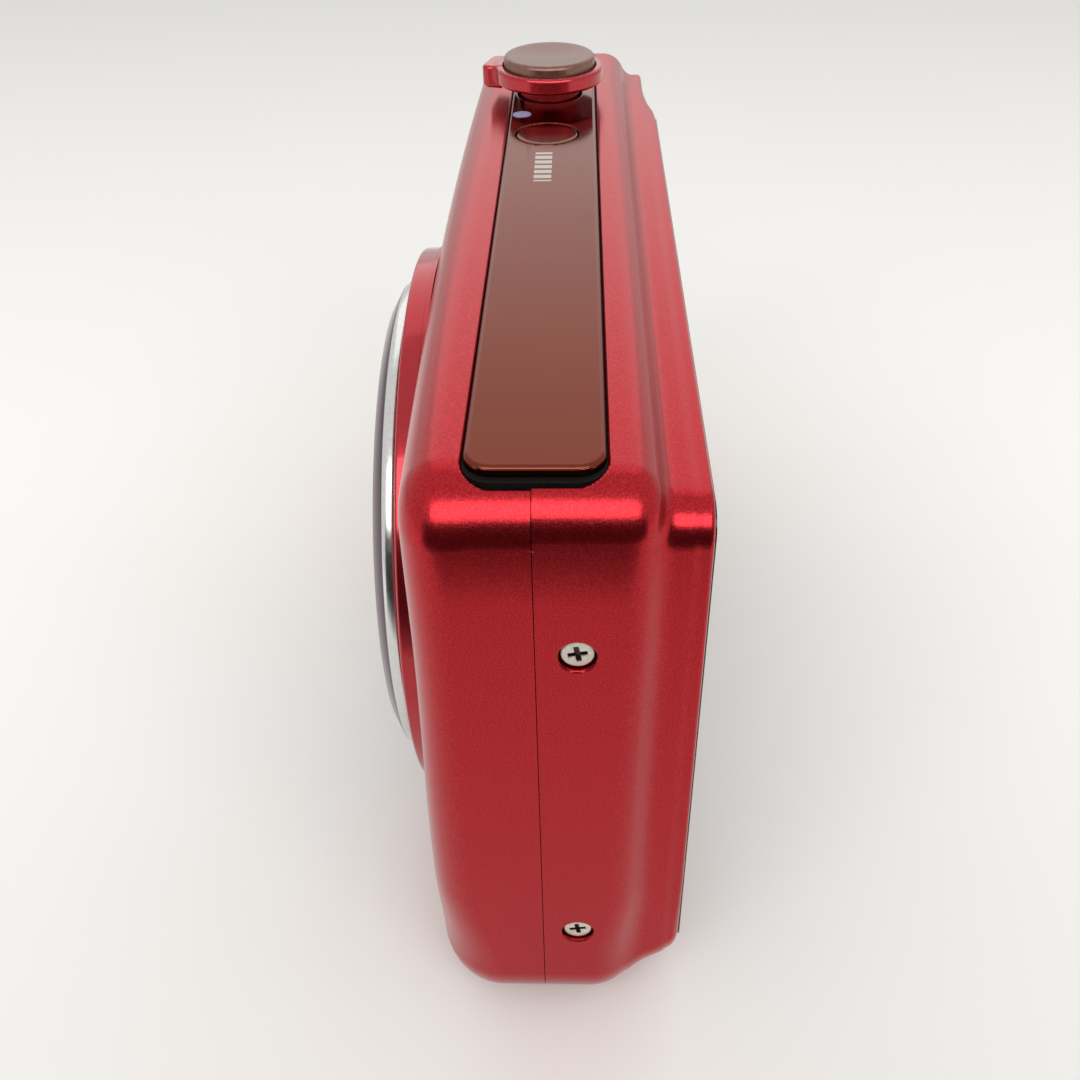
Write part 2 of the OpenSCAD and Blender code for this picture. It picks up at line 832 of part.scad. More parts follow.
module key_board() {
  color(green) placed() {
    block([-34, 7.5, 6.5], [-18.5, 7.9, 48]);
    rod_y(pad_x, pad_z, 1.4, 7.8, 8.3);
    for (a = [0, 90, 180, 270]) {
      rod_y(pad_x + 5 * cos(a), pad_z + 5 * sin(a), 1, 7.8, 8.3);
    }
    for (s = [-1, 1]) {
      rod_y(pad_x + s * key_low_dx, key_low_z, 1.2, 7.8, 8.3);
    }
    rod_y(pad_x, key_high_z, 1.2, 7.8, 8.3);
    rod_y(pad_x, key_top_z, 1.2, 7.8, 8.3);
  }
}

module shutter_button() {
  color(smoke) placed() translate([shutter_x, control_y, 0]) difference() {
    union() {
      rod_z(0, 0, shutter_r, 62.6, 63.6);
      rod_z(0, 0, shutter_r - 0.4, 62.7, 63.9);
      rod_z(0, 0, 1.5, 56.5, 62.7);
    }
    translate([0, 0, 63.6 + 30]) sphere(30.05);
  }
}

module zoom_lever() {
  color(red) placed() translate([shutter_x, control_y, 0]) difference() {
    union() {
      rod_z(0, 0, collar_r, collar_z0, collar_z2);
      rod_z(0, 0, hub_r, 56, collar_z0 + 0.1);
      translate([0, 0, collar_z0 - 0.8]) rotate(tab_turn) linear_extrude(collar_z2 - collar_z0 + 0.7) {
        translate([5.4, -2.2]) square([1.1, 4.4]);
        translate([6.4, -1.2]) square([1.1, 2.4]);
        for (s = [-1, 1]) {
          translate([6.5, s * 1.2]) circle(1);
        }
      }
    }
    rod_z(0, 0, shutter_r + 0.15, collar_z1, 70);
    rod_z(0, 0, 1.6, 50, 70);
  }
}

module power_button() {
  color(smoke) placed() {
    rod_z(power_x, control_y, power_r, pocket_z + 0.45, pocket_z + strip_thick);
    rod_z(power_x, control_y, 1.9, 56.4, pocket_z + 0.5);
  }
}

module battery_door() {
  color(red) placed() difference() {
    union() {
      block([door_x0, door_y0, 0], [door_axis_x - hinge_edge, door_y1, door_thick]);
      block([door_axis_x - hinge_edge - 0.1, door_knuckle_y0, 0],
        [door_axis_x, door_knuckle_y1, door_thick]);
      rod_y(door_axis_x, door_axis_z, door_thick / 2, door_knuckle_y0, door_knuckle_y1);
      block([door_x0 + 1, -4, 1], [door_x0 + 2, 2, 2]);
    }
    rod_y(door_axis_x, door_axis_z, pin_hole_r, -10, 10);
  }
}

module battery_lock() {
  color([0.9, 0.45, 0.1]) placed() {
    block([-20, -0.3, 2.3], [-16, 1.5, 3.3]);
  }
}

module port_cover() {
  color(dark) placed() difference() {
    union() {
      block([-half, port_y0, port_axis_z + hinge_edge], [-half + 1, port_y1, port_z1]);
      block([-half, port_knuckle_y0, port_axis_z],
        [-half + 1, port_knuckle_y1, port_axis_z + hinge_edge + 0.1]);
      rod_y(port_axis_x, port_axis_z, 0.5, port_knuckle_y0, port_knuckle_y1);
    }
    rod_y(port_axis_x, port_axis_z, pin_hole_r, 0, 6);
  }
}

// rear key with a flange behind the panel
module rear_key(x, z, r) {
  rod_y(x, z, r, 9.2, panel_y - 0.05);
  rod_y(x, z, r + 0.5, 9.2, 9.7);
  rod_y(x, z, 0.8, 8.7, 9.3);
}

module selector_pad() {
  color(smoke) placed() difference() {
    union() {
      rod_y(pad_x, pad_z, pad_r, 9.2, panel_y - 0.05);
      rod_y(pad_x, pad_z, pad_r + 0.5, 9.2, 9.7);
    }
    rod_y(pad_x, pad_z, 2.75, 5, 15);
    rod_y(pad_x, pad_z, 3.4, 5, 10.1);
  }
}

module ok_button() {
  color(smoke) placed() rear_key(pad_x, pad_z, 2.6);
}

module menu_button() {
  color(smoke) placed() rear_key(pad_x + key_low_dx, key_low_z, key_r);
}

module delete_button() {
  color(smoke) placed() rear_key(pad_x - key_low_dx, key_low_z, key_r);
}

module play_button() {
  color(smoke) placed() rear_key(pad_x, key_high_z, key_r);
}

module record_button() {
  color(smoke) placed() rear_key(pad_x, key_top_z, key_r);
}

front_cover();
rear_cover();
top_strip();
end_screws();
base_screws();
lens_base_ring();
lens_trim_ring();
flash_window();
flash_reflector();
flash_tube();
af_lamp_window();
lcd_panel();
lcd_module();
chassis_frame();
tripod_bush();
battery_cage();
battery();
battery_contacts();
card_slot();
memory_card();
main_board();
flash_capacitor();
lens_housing();
image_sensor();
zoom_motor();
focus_motor();
focus_rods();
strap_lug();
usb_socket();
speaker();
microphone();
top_board();
power_lamp();
door_hinge_pin();
port_hinge_pin();
key_board();
shutter_button();
zoom_lever();
power_button();
cam_ring();
outer_barrel();
middle_barrel();
inner_barrel();
name_ring();
front_lens();
barrier_blade_upper();
barrier_blade_lower();
zoom_lens_group();
focus_lens();
battery_door();
battery_lock();
port_cover();
selector_pad();
ok_button();
menu_button();
delete_button();
play_button();
record_button();
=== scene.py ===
import json
import math

import bmesh
import bpy
import numpy as np
from mathutils import Matrix, Vector


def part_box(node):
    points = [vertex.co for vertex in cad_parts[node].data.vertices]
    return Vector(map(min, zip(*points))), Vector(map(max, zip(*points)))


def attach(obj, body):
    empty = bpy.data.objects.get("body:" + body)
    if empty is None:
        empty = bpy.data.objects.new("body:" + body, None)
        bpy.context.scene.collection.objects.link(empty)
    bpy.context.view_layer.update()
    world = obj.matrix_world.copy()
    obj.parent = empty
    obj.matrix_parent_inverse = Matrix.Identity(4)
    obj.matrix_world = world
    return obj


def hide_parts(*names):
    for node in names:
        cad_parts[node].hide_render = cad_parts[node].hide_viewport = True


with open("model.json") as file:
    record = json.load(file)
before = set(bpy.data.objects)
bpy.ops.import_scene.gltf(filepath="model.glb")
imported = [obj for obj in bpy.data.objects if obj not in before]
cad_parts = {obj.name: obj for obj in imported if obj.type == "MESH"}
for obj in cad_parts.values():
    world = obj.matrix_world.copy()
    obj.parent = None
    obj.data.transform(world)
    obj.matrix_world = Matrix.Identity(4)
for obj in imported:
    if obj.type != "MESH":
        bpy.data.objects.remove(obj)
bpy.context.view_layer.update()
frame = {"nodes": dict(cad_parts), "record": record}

# Shapes are in mm, with y measured from the seam between the covers. Materials and lights are in metres.
MM = 0.001
LO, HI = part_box("front_cover")
SEAM = HI.y / MM                 # y of the seam in the scene
HALF = HI.x / MM                 # half the body length
TOP = HI.z / MM                  # height of the top face
FRONT = LO.y / MM - SEAM         # front face


def middle(box):
    """Middle of a CAD box as (x, y, z)."""
    lo, hi = box
    return (lo.x + hi.x) / 2 / MM, (lo.y + hi.y) / 2 / MM - SEAM, (lo.z + hi.z) / 2 / MM


def half_width(box):
    lo, hi = box
    return (hi.x - lo.x) / 2 / MM


def sides(box):
    """Faces of a CAD box as ((x0, x1), (y0, y1), (z0, z1))."""
    lo, hi = box
    return (lo.x / MM, hi.x / MM), (lo.y / MM - SEAM, hi.y / MM - SEAM), (lo.z / MM, hi.z / MM)


LENS_X, _, LENS_Z = middle(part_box("lens_trim_ring"))
SHUTTER_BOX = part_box("shutter_button")
SHUT_X, SHUT_Y, _ = middle(SHUTTER_BOX)
BUTTON_R = half_width(SHUTTER_BOX)
POWER_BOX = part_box("power_button")
POWER_X = middle(POWER_BOX)[0]
POWER_R = half_width(POWER_BOX)
LAMP_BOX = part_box("power_lamp")
LAMP_X, LAMP_Y, _ = middle(LAMP_BOX)
LAMP_R = half_width(LAMP_BOX)
(_, STRIP_X), (STRIP_Y0, STRIP_Y1), (STRIP_Z0, STRIP_Z1) = sides(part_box("top_strip"))
PANEL_X, PANEL_Y, PANEL_Z = sides(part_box("lcd_panel"))
PANEL = (*PANEL_X, *PANEL_Z)
WINDOW = (-15.6, 43.4, 9.6, 52.4)    # display window in the panel: x0, x1, z0, z1
BARS = (-9.7, -2.0, -1.35, 0.35)     # field of white bars on the strip: x0, x1, y0, y1
SCREW_SINK = 0.35                    # how far a screw head lies below the face


def add_object(name, data):
    obj = bpy.data.objects.new(name, data)
    bpy.context.scene.collection.objects.link(obj)
    return obj


# ---------------------------------------------------------------- materials
class Paint:
    """A new material, with short calls for the nodes that the materials here are made of."""

    def __init__(self, name):
        self.mat = bpy.data.materials.new(name)
        self.mat.use_nodes = True
        self.nodes = self.mat.node_tree.nodes
        self.links = self.mat.node_tree.links
        self.shader = self.nodes.get("Principled BSDF")

    def value(self, socket, number):
        self.shader.inputs[socket].default_value = number

    def drive(self, socket, output):
        self.links.new(output, self.shader.inputs[socket])

    def noise(self, scale, detail=2.0, rough=0.5, stretch=None):
        coord = self.nodes.new("ShaderNodeTexCoord").outputs["Object"]
        tex = self.nodes.new("ShaderNodeTexNoise")
        tex.inputs["Scale"].default_value = scale
        tex.inputs["Detail"].default_value = detail
        tex.inputs["Roughness"].default_value = rough
        if stretch:
            mapping = self.nodes.new("ShaderNodeMapping")
            mapping.inputs["Scale"].default_value = stretch
            self.links.new(coord, mapping.inputs["Vector"])
            coord = mapping.outputs["Vector"]
        self.links.new(coord, tex.inputs["Vector"])
        return tex.outputs["Fac"]

    def axes(self):
        """Outputs X, Y and Z of the object coordinates, in metres."""
        coord = self.nodes.new("ShaderNodeTexCoord")
        split = self.nodes.new("ShaderNodeSeparateXYZ")
        self.links.new(coord.outputs["Object"], split.inputs["Vector"])
        return split.outputs

    def ramp(self, fac, stops):
        """Colours along fac. stops are (position, colour) pairs in rising order."""
        node = self.nodes.new("ShaderNodeValToRGB")
        elements = node.color_ramp.elements
        elements[0].position = stops[0][0]
        elements[0].color = (*stops[0][1], 1)
        elements[1].position = stops[-1][0]
        elements[1].color = (*stops[-1][1], 1)
        for position, colour in stops[1:-1]:
            elements.new(position).color = (*colour, 1)
        self.links.new(fac, node.inputs["Fac"])
        return node.outputs["Color"]

    def scaled(self, fac, lo, hi, from_lo=0.3, from_hi=0.7):
        """Maps from_lo..from_hi to lo..hi and holds the ends."""
        node = self.nodes.new("ShaderNodeMapRange")
        node.inputs["From Min"].default_value = from_lo
        node.inputs["From Max"].default_value = from_hi
        node.inputs["To Min"].default_value = lo
        node.inputs["To Max"].default_value = hi
        self.links.new(fac, node.inputs["Value"])
        return node.outputs["Result"]

    def combine(self, operation, *values):
        """A maths node. Each value is an output or a number."""
        node = self.nodes.new("ShaderNodeMath")
        node.operation = operation
        for socket, item in zip(node.inputs, values):
            if isinstance(item, float):
                socket.default_value = item
            else:
                self.links.new(item, socket)
        return node.outputs[0]

    def mixed(self, factor, base, over):
        """The colour output base, going to the plain colour over where factor is 1."""
        node = self.nodes.new("ShaderNodeMix")
        node.data_type = "RGBA"
        self.links.new(factor, node.inputs["Factor"])
        self.links.new(base, node.inputs["A"])
        node.inputs["B"].default_value = (*over, 1)
        return node.outputs["Result"]

    def inside(self, outputs, limits, blur):
        """1 within the (axis, low, high) limits in metres and 0 outside, with edges 2 * blur wide."""
        mask = None
        for axis, low, high in limits:
            for edge, sign in ((low, -1), (high, 1)):
                side = self.scaled(outputs[axis], 1.0, 0.0, edge - sign * blur, edge + sign * blur)
                mask = side if mask is None else self.combine("MULTIPLY", mask, side)
        return mask

    def bump(self, height, strength, distance):
        node = self.nodes.new("ShaderNodeBump")
        node.inputs["Strength"].default_value = strength
        node.inputs["Distance"].default_value = distance
        self.links.new(height, node.inputs["Height"])
        self.drive("Normal", node.outputs["Normal"])


def finish(name, dark, light, metallic, rough, grain, bump_height=0.0, coat=0.0, coat_rough=0.1,
           stretch=None):
    """Two-tone procedural finish: a fine grain varies colour, roughness and, if asked, height."""
    paint = Paint(name)
    fac = paint.noise(grain, 2.0, 0.6, stretch)
    paint.drive("Base Color", paint.ramp(fac, [(0.35, dark), (0.65, light)]))
    paint.drive("Roughness", paint.scaled(fac, rough[0], rough[1]))
    paint.value("Metallic", metallic)
    paint.value("Coat Weight", coat)
    paint.value("Coat Roughness", coat_rough)
    paint.value("IOR", 1.5)
    if bump_height:
        paint.bump(fac, 0.6, bump_height)
    return paint.mat


def red_paint():
    """Metallic paint: a fine flake varies colour, roughness and height, a cloud the roughness."""
    paint = Paint("red_metallic_paint")
    flake = paint.noise(8000.0, 0.0, 0.5)
    cloud = paint.noise(60.0, 3.0, 0.5)
    tones = [(0.28, (0.355, 0.0090, 0.0145)), (0.50, (0.425, 0.0118, 0.0184)), (0.74, (0.515, 0.020, 0.029))]
    paint.drive("Base Color", paint.ramp(flake, tones))
    paint.drive("Roughness", paint.combine("MULTIPLY_ADD", flake, 0.10, paint.scaled(cloud, 0.165, 0.195)))
    paint.value("Metallic", 0.92)
    paint.value("Coat Weight", 0.15)
    paint.value("Coat Roughness", 0.25)
    paint.bump(flake, 0.30, 0.000008)
    return paint.mat


def strip_material():
    """Smoky gloss strip with a row of pale bars, long scratches and a little dust."""
    paint = Paint("smoky_gloss")
    cloud = paint.noise(45.0, 3.0, 0.5)
    axes = paint.axes()
    x0, x1, y0, y1 = (v * MM for v in BARS)
    field = paint.inside(axes, (("X", x0, x1), ("Y", SEAM * MM + y0, SEAM * MM + y1)), 0.00002)
    waves = paint.combine("PINGPONG", axes["X"], 0.00064)
    lines = paint.combine("MULTIPLY", paint.scaled(waves, 0.0, 0.8, 0.00020, 0.00026), field)
    base = paint.ramp(cloud, [(0.3, (0.158, 0.034, 0.019)), (0.7, (0.174, 0.040, 0.023))])
    paint.drive("Base Color", paint.mixed(lines, base, (0.44, 0.42, 0.37)))
    paint.drive("Metallic", paint.scaled(lines, 1.0, 0.0, 0.0, 0.8))
    scratch = paint.noise(900.0, 2.0, 0.6, (0.06, 1.0, 0.3))
    dust = paint.noise(3600.0, 1.0, 0.5)
    paint.drive("Roughness", paint.combine("ADD", paint.scaled(scratch, 0.0, 0.07, 0.62, 0.80),
                                           paint.scaled(dust, 0.11, 0.22, 0.66, 0.80)))
    paint.bump(scratch, 0.06, 0.000003)
    return paint.mat


def ring_material(edge_y):
    """Polished ring: bright side, and a painted reflection on the front chamfer, below edge_y in metres: a
    dark purple-grey band where the ring mirrors the dark camera side.
    """
    paint = Paint("chrome_ring")
    fac = paint.noise(2400.0, 2.0, 0.5)
    # Painted reflection: the front chamfer is coloured dark purple-grey, as the mirrored dark camera side.
    band = paint.scaled(paint.axes()["Y"], 1.0, 0.0, edge_y - 0.00004, edge_y + 0.00004)
    base = paint.ramp(fac, [(0.35, (0.66, 0.66, 0.655)), (0.65, (0.70, 0.70, 0.69))])
    paint.drive("Base Color", paint.mixed(band, base, (0.125, 0.085, 0.105)))
    paint.drive("Roughness", paint.scaled(fac, 0.16, 0.20))
    paint.value("Metallic", 1.0)
    return paint.mat


def screw_material():
    """Cream plating, with painted shade: the cross recess and the edge below the head face are nearly black.
    """
    paint = Paint("screw_plating")
    fac = paint.noise(2600.0, 2.0, 0.6)
    axes = paint.axes()
    end_face = (HALF - SCREW_SINK) * MM
    out = paint.combine("ABSOLUTE", axes["X"])
    below_end = paint.scaled(out, 1.0, 0.0, end_face - 0.00011, end_face - 0.00006)
    below_base = paint.scaled(axes["Z"], 0.0, 1.0, 0.00041, 0.00046)
    # Painted shade in the cross recess and below the head face: nearly black and not metallic.
    recess = paint.combine("MULTIPLY", below_end, below_base)
    base = paint.ramp(fac, [(0.35, (0.62, 0.57, 0.48)), (0.65, (0.78, 0.74, 0.64))])
    paint.drive("Base Color", paint.mixed(recess, base, (0.012, 0.008, 0.008)))
    paint.drive("Roughness", paint.scaled(fac, 0.28, 0.40))
    paint.drive("Metallic", paint.scaled(recess, 0.75, 0.0, 0.0, 1.0))
    return paint.mat


def display_material():
    """Black gloss panel with the slightly paler window of the display."""
    paint = Paint("display_panel")
    x0, x1, z0, z1 = (v * MM for v in WINDOW)
    window = paint.inside(paint.axes(), (("X", x0, x1), ("Z", z0, z1)), 0.00003)
    fac = paint.noise(220.0, 2.0, 0.5)
    base = paint.ramp(fac, [(0.3, (0.0035, 0.0035, 0.004)), (0.7, (0.005, 0.005, 0.006))])
    paint.drive("Base Color", paint.mixed(window, base, (0.020, 0.022, 0.026)))
    paint.drive("Roughness", paint.scaled(fac, 0.03, 0.06))
    return paint.mat


def glass_material(name, colour, rough, transmission):
    paint = Paint(name)
    paint.drive("Roughness", paint.scaled(paint.noise(300.0, 2.0, 0.5), rough, rough + 0.03))
    paint.value("Base Color", (*colour, 1))
    paint.value("Transmission Weight", transmission)
    paint.value("IOR", 1.5)
    paint.value("Coat Weight", 0.5)
    return paint.mat


def gap_shade_material():
    """Dull black that hardly reflects: painted shade for the gap round the strip."""
    # Painted shade: nearly black, so the gap round the strip looks shadowed.
    mat = finish("gap_painted_shade_black", (0.002, 0.001, 0.001), (0.004, 0.002, 0.002), 0.0, (0.6, 0.8), 1500.0)
    mat.node_tree.nodes["Principled BSDF"].inputs["Specular IOR Level"].default_value = 0.15
    return mat


def floor_material():
    """Pale paper, with painted shade: a little darker toward the far end of the object and beyond, where less
    light falls.
    """
    paint = Paint("floor_paper")
    # Painted shade: darker toward far x, where less light falls.
    far = paint.scaled(paint.axes()["X"], 1.0, 0.0, -0.32, -0.03)
    tones = [(0.3, (0.80, 0.795, 0.775)), (0.7, (0.82, 0.815, 0.795))]
    base = paint.ramp(paint.noise(12.0, 3.0, 0.5), tones)
    paint.drive("Base Color", paint.mixed(far, base, (0.62, 0.615, 0.60)))
    paint.value("Roughness", 0.85)
    return paint.mat


def card_material(name, height):
    """Pale at the foot of a card of this height in metres, nearly black from mid height up."""
    paint = Paint(name)
    up = paint.scaled(paint.axes()["Z"], 0.0, 1.0, 0.0, height)
    paint.drive("Base Color", paint.ramp(up, [(0.02, (0.70, 0.69, 0.67)), (0.12, (0.40, 0.39, 0.38)),
                                              (0.26, (0.10, 0.10, 0.10)), (0.38, (0.015, 0.015, 0.015))]))
    paint.value("Roughness", 0.9)
    return paint.mat


# Arguments of finish: name, dark and light colour, metallic, roughness range, grain scale, bump height.
MATS = {
    "red_paint": red_paint(),
    "red_gloss": finish("red_gloss_paint", (0.36, 0.010, 0.018), (0.46, 0.020, 0.030), 0.85, (0.16, 0.22),
                        9000.0, coat=0.5, coat_rough=0.06),
    "smoke_gloss": strip_material(),
    "key_plastic": finish("key_plastic", (0.175, 0.085, 0.062), (0.220, 0.112, 0.084), 0.75, (0.26, 0.34),
                          1600.0, coat=0.15, coat_rough=0.2),
    "black_gloss": finish("black_gloss", (0.006, 0.006, 0.008), (0.010, 0.010, 0.013), 0.0, (0.04, 0.08),
                          220.0, coat=1.0, coat_rough=0.03),
    "black_plastic": finish("black_plastic", (0.016, 0.016, 0.018), (0.028, 0.028, 0.031), 0.0, (0.45, 0.6),
                            1500.0, 0.000008),
    "chrome": finish("chrome", (0.72, 0.72, 0.75), (0.82, 0.82, 0.84), 1.0, (0.07, 0.12), 800.0),
    "screw_steel": screw_material(),
    "steel": finish("stamped_steel", (0.46, 0.46, 0.48), (0.62, 0.62, 0.64), 1.0, (0.28, 0.42), 700.0,
                    stretch=(1.0, 1.0, 0.08)),
    "barrel_metal": finish("barrel_anodised", (0.030, 0.030, 0.034), (0.050, 0.050, 0.055), 0.7, (0.30, 0.40),
                           900.0, stretch=(1.0, 0.05, 1.0)),
    "bare_aluminium": finish("bare_aluminium", (0.68, 0.68, 0.70), (0.80, 0.80, 0.82), 1.0, (0.15, 0.28),
                             900.0),
    "contact_brass": finish("contact_gold", (0.70, 0.48, 0.18), (0.82, 0.60, 0.26), 1.0, (0.18, 0.28),
                            1200.0),
    "lens_glass": glass_material("coated_glass", (0.42, 0.46, 0.80), 0.01, 0.9),
    "window_plastic": glass_material("frosted_window", (0.95, 0.95, 0.93), 0.22, 0.75),
    "amber_window": glass_material("amber_window", (0.95, 0.45, 0.12), 0.10, 0.8),
    "blue_lamp": finish("blue_lamp", (0.24, 0.25, 0.42), (0.32, 0.33, 0.50), 0.0, (0.15, 0.25), 900.0,
                        coat=0.5),
    "board_green": finish("board_green", (0.012, 0.085, 0.035), (0.02, 0.13, 0.055), 0.0, (0.30, 0.45), 380.0,
                          coat=0.4),
    "card_blue": finish("card_blue", (0.015, 0.04, 0.20), (0.02, 0.055, 0.26), 0.0, (0.40, 0.5), 900.0),
    "battery_wrap": finish("battery_wrap", (0.035, 0.035, 0.040), (0.055, 0.055, 0.06), 0.0, (0.35, 0.45),
                           700.0),
    "sleeve_black": finish("sleeve_black", (0.008, 0.008, 0.020), (0.014, 0.014, 0.03), 0.0, (0.18, 0.28),
                           500.0),
    "catch_orange": finish("catch_orange", (0.62, 0.16, 0.012), (0.75, 0.21, 0.02), 0.0, (0.35, 0.45),
                           1200.0),
}
SLOT_OF = {s["node"]: s["material_slot"] for s in frame["record"]["subparts"]}

for node_name, node_object in frame["nodes"].items():
    node_object.data.materials.clear()
    node_object.data.materials.append(MATS[SLOT_OF[node_name]])
    node_object.data.set_sharp_from_angle(angle=math.radians(32))

frame["nodes"]["lcd_panel"].data.materials[0] = display_material()


# ---------------------------------------------------------------- distance fields
def rect2(u, v, u0, u1, v0, v1, r):
    """Distance to a rectangle with round corners. r is a number, or an array that varies over the points."""
    qu = np.abs(u - (u0 + u1) / 2) - (u1 - u0) / 2 + r
    qv = np.abs(v - (v0 + v1) / 2) - (v1 - v0) / 2 + r
    return np.minimum(np.maximum(qu, qv), 0) + np.hypot(np.maximum(qu, 0), np.maximum(qv, 0)) - r


def grown(u, v, edges, gap, r):
    """rect2 of the rectangle (u0, u1, v0, v1), moved out by gap on all four sides."""
    return rect2(u, v, edges[0] - gap, edges[1] + gap, edges[2] - gap, edges[3] + gap, r)


def extrude(d, w, w0, w1, r):
    """The outline distance d, extruded from w0 to w1 along w with edges of radius r."""
    a = d + r
    b = np.abs(w - (w0 + w1) / 2) - (w1 - w0) / 2 + r
    return np.minimum(np.maximum(a, b), 0) + np.hypot(np.maximum(a, 0), np.maximum(b, 0)) - r


def disc(u, v, cu, cv, r):
    return np.hypot(u - cu, v - cv) - r


def smin(a, b, k):
    """Smaller of two distances, blended where they differ by less than k."""
    h = np.maximum(k - np.abs(a - b), 0) / k
    return np.minimum(a, b) - h * h * k / 4


def smax(a, b, k):
    return -smin(-a, -b, k)


def ease(t):
    """Goes from 0 to 1 with t, level at both ends."""
    return t * t * (3 - 2 * t)


SLAB = 24                        # grid planes worked out at a time, which saves memory
HALVINGS = 9                     # bisections that find where a grid edge meets the surface
PULL = 0.03                      # pull of a vertex to the middle of its crossings, where the shape is flat
FLAT_ANGLE = 0.12                # faces that turn less than this many degrees are joined
LARGE_FACE = 1.2e-6              # a face above this many square metres keeps its own normal
REACH = 0.06                     # how far inside a face its corner normals are taken


def dual_contour(f, xs, ys, zs):
    """Quad mesh of f = 0 on a grid of uneven steps; vertices sit on edges and corners of the shape."""
    axes = [np.asarray(a, float) for a in (xs, ys, zs)]
    shape = tuple(len(a) for a in axes)
    values = np.empty(shape)
    for i in range(0, shape[0], SLAB):
        gx, gy, gz = np.meshgrid(axes[0][i:i + SLAB], axes[1], axes[2], indexing="ij")
        values[i:i + SLAB] = f(gx, gy, gz)
    cells = tuple(n - 1 for n in shape)
    all_points, all_normals, all_cells = [], [], []
    quads = []
    for ax in range(3):
        # Grid edges along this axis whose ends lie on either side of the surface.
        cut = [slice(None)] * 3
        cut[ax] = slice(0, -1)
        low = values[tuple(cut)]
        cut[ax] = slice(1, None)
        high = values[tuple(cut)]
        idx = np.argwhere((low < 0) != (high < 0))
        others = [o for o in range(3) if o != ax]
        inside = np.all([(idx[:, o] > 0) & (idx[:, o] < cells[o]) for o in others], axis=0)
        idx = idx[inside]
        if not len(idx):
            continue
        # The point and the normal where each of them crosses it.
        a = np.stack([axes[o][idx[:, o]] for o in range(3)], 1)
        b = a.copy()
        b[:, ax] = axes[ax][idx[:, ax] + 1]
        va = low[tuple(idx.T)]
        for _ in range(HALVINGS):
            mid = (a + b) / 2
            vm = f(mid[:, 0], mid[:, 1], mid[:, 2])
            same = (vm < 0) == (va < 0)
            a[same] = mid[same]
            b[~same] = mid[~same]
        p = (a + b) / 2
        n = gradient(f, p)
        # One quad per crossing, between the four cells round the grid edge.
        o1, o2 = others
        corner_cells = []
        for d1, d2 in ((-1, -1), (0, -1), (0, 0), (-1, 0)):
            c = idx.copy()
            c[:, o1] += d1
            c[:, o2] += d2
            corner_cells.append(np.ravel_multi_index(c.T, cells))
        corner_cells = np.stack(corner_cells, 1)
        for k in range(4):
            all_points.append(p)
            all_normals.append(n)
            all_cells.append(corner_cells[:, k])
        flip = (va < 0) if ax != 1 else ~(va < 0)
        q = corner_cells.copy()
        q[~flip] = q[~flip][:, ::-1]
        quads.append(q)
    # One vertex per cell: the least-squares meeting point of the tangent planes at its crossings.
    points = np.concatenate(all_points)
    normals = np.concatenate(all_normals)
    owner = np.concatenate(all_cells)
    used, inverse = np.unique(owner, return_inverse=True)
    m = len(used)
    count = np.bincount(inverse, minlength=m).astype(float)
    mean = np.stack([np.bincount(inverse, points[:, i], m) for i in range(3)], 1) / count[:, None]
    ata = np.zeros((m, 3, 3))
    for i in range(3):
        for j in range(3):
            ata[:, i, j] = np.bincount(inverse, normals[:, i] * normals[:, j], m)
    rhs = np.einsum("ij,ij->i", normals, points - mean[inverse])
    atb = np.stack([np.bincount(inverse, normals[:, i] * rhs, m) for i in range(3)], 1)
    ata += np.eye(3)[None] * PULL
    vert = mean + np.linalg.solve(ata, atb[:, :, None])[:, :, 0]
    ijk = np.stack(np.unravel_index(used, cells), 1)
    for i in range(3):
        vert[:, i] = np.clip(vert[:, i], axes[i][ijk[:, i]], axes[i][ijk[:, i] + 1])
    faces = np.searchsorted(used, np.concatenate(quads))
    return vert, faces


def gradient(f, p, e=0.004):
    """Unit normals of the field f at the points p, from differences over e either way."""
    g = np.empty_like(p)
    for i in range(3):
        hi, lo = p.copy(), p.copy()
        hi[:, i] += e
        lo[:, i] -= e
        g[:, i] = f(hi[:, 0], hi[:, 1], hi[:, 2]) - f(lo[:, 0], lo[:, 1], lo[:, 2])
    return g / np.maximum(np.linalg.norm(g, axis=1), 1e-12)[:, None]


def steps(*parts):
    """Grid lines from (start, end, step) runs that follow each other."""
    out = [np.linspace(a, b, max(1, int(round((b - a) / s))), endpoint=False) for a, b, s in parts]
    return np.concatenate(out + [[parts[-1][1]]])


def to_scene(v):
    """Points in mm from the seam, as metres in the scene."""
    return (np.asarray(v, float) + (0, SEAM, 0)) * MM


def place(obj, slot, body, *nodes):
    """Gives a built piece the material of its slot unless it has one, puts it on its body, and hides the CAD
    nodes it stands for.
    """
    if not obj.data.materials:
        obj.data.materials.append(MATS[slot])
    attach(obj, body)
    if nodes:
        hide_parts(*nodes)
    return obj


def field_piece(name, f, grid, slot, body, *nodes):
    """A piece with the surface f = 0, kept within the CAD covers and above the floor."""
    vert, faces = dual_contour(f, *grid)
    vert = np.clip(vert, (-HALF, FRONT, 0), (HALF, LEDGE_Y, math.inf))
    mesh = bpy.data.meshes.new(name)
    mesh.vertices.add(len(vert))
    mesh.vertices.foreach_set("co", to_scene(vert).astype(np.float32).ravel())
    mesh.loops.add(faces.size)
    mesh.loops.foreach_set("vertex_index", faces.astype(np.int32).ravel())
    mesh.polygons.add(len(faces))
    mesh.polygons.foreach_set("loop_start", np.arange(0, faces.size, 4, dtype=np.int32))
    mesh.update(calc_edges=True)
    mesh.validate()
    bm = bmesh.new()
    bm.from_mesh(mesh)
    bmesh.ops.dissolve_limit(bm, angle_limit=math.radians(FLAT_ANGLE), use_dissolve_boundaries=False,
                             verts=bm.verts, edges=bm.edges, delimit={"NORMAL"})
    bm.to_mesh(mesh)
    bm.free()
    mesh.update()
    smooth_by_field(mesh, f)
    return place(add_object(name, mesh), slot, body, *nodes)


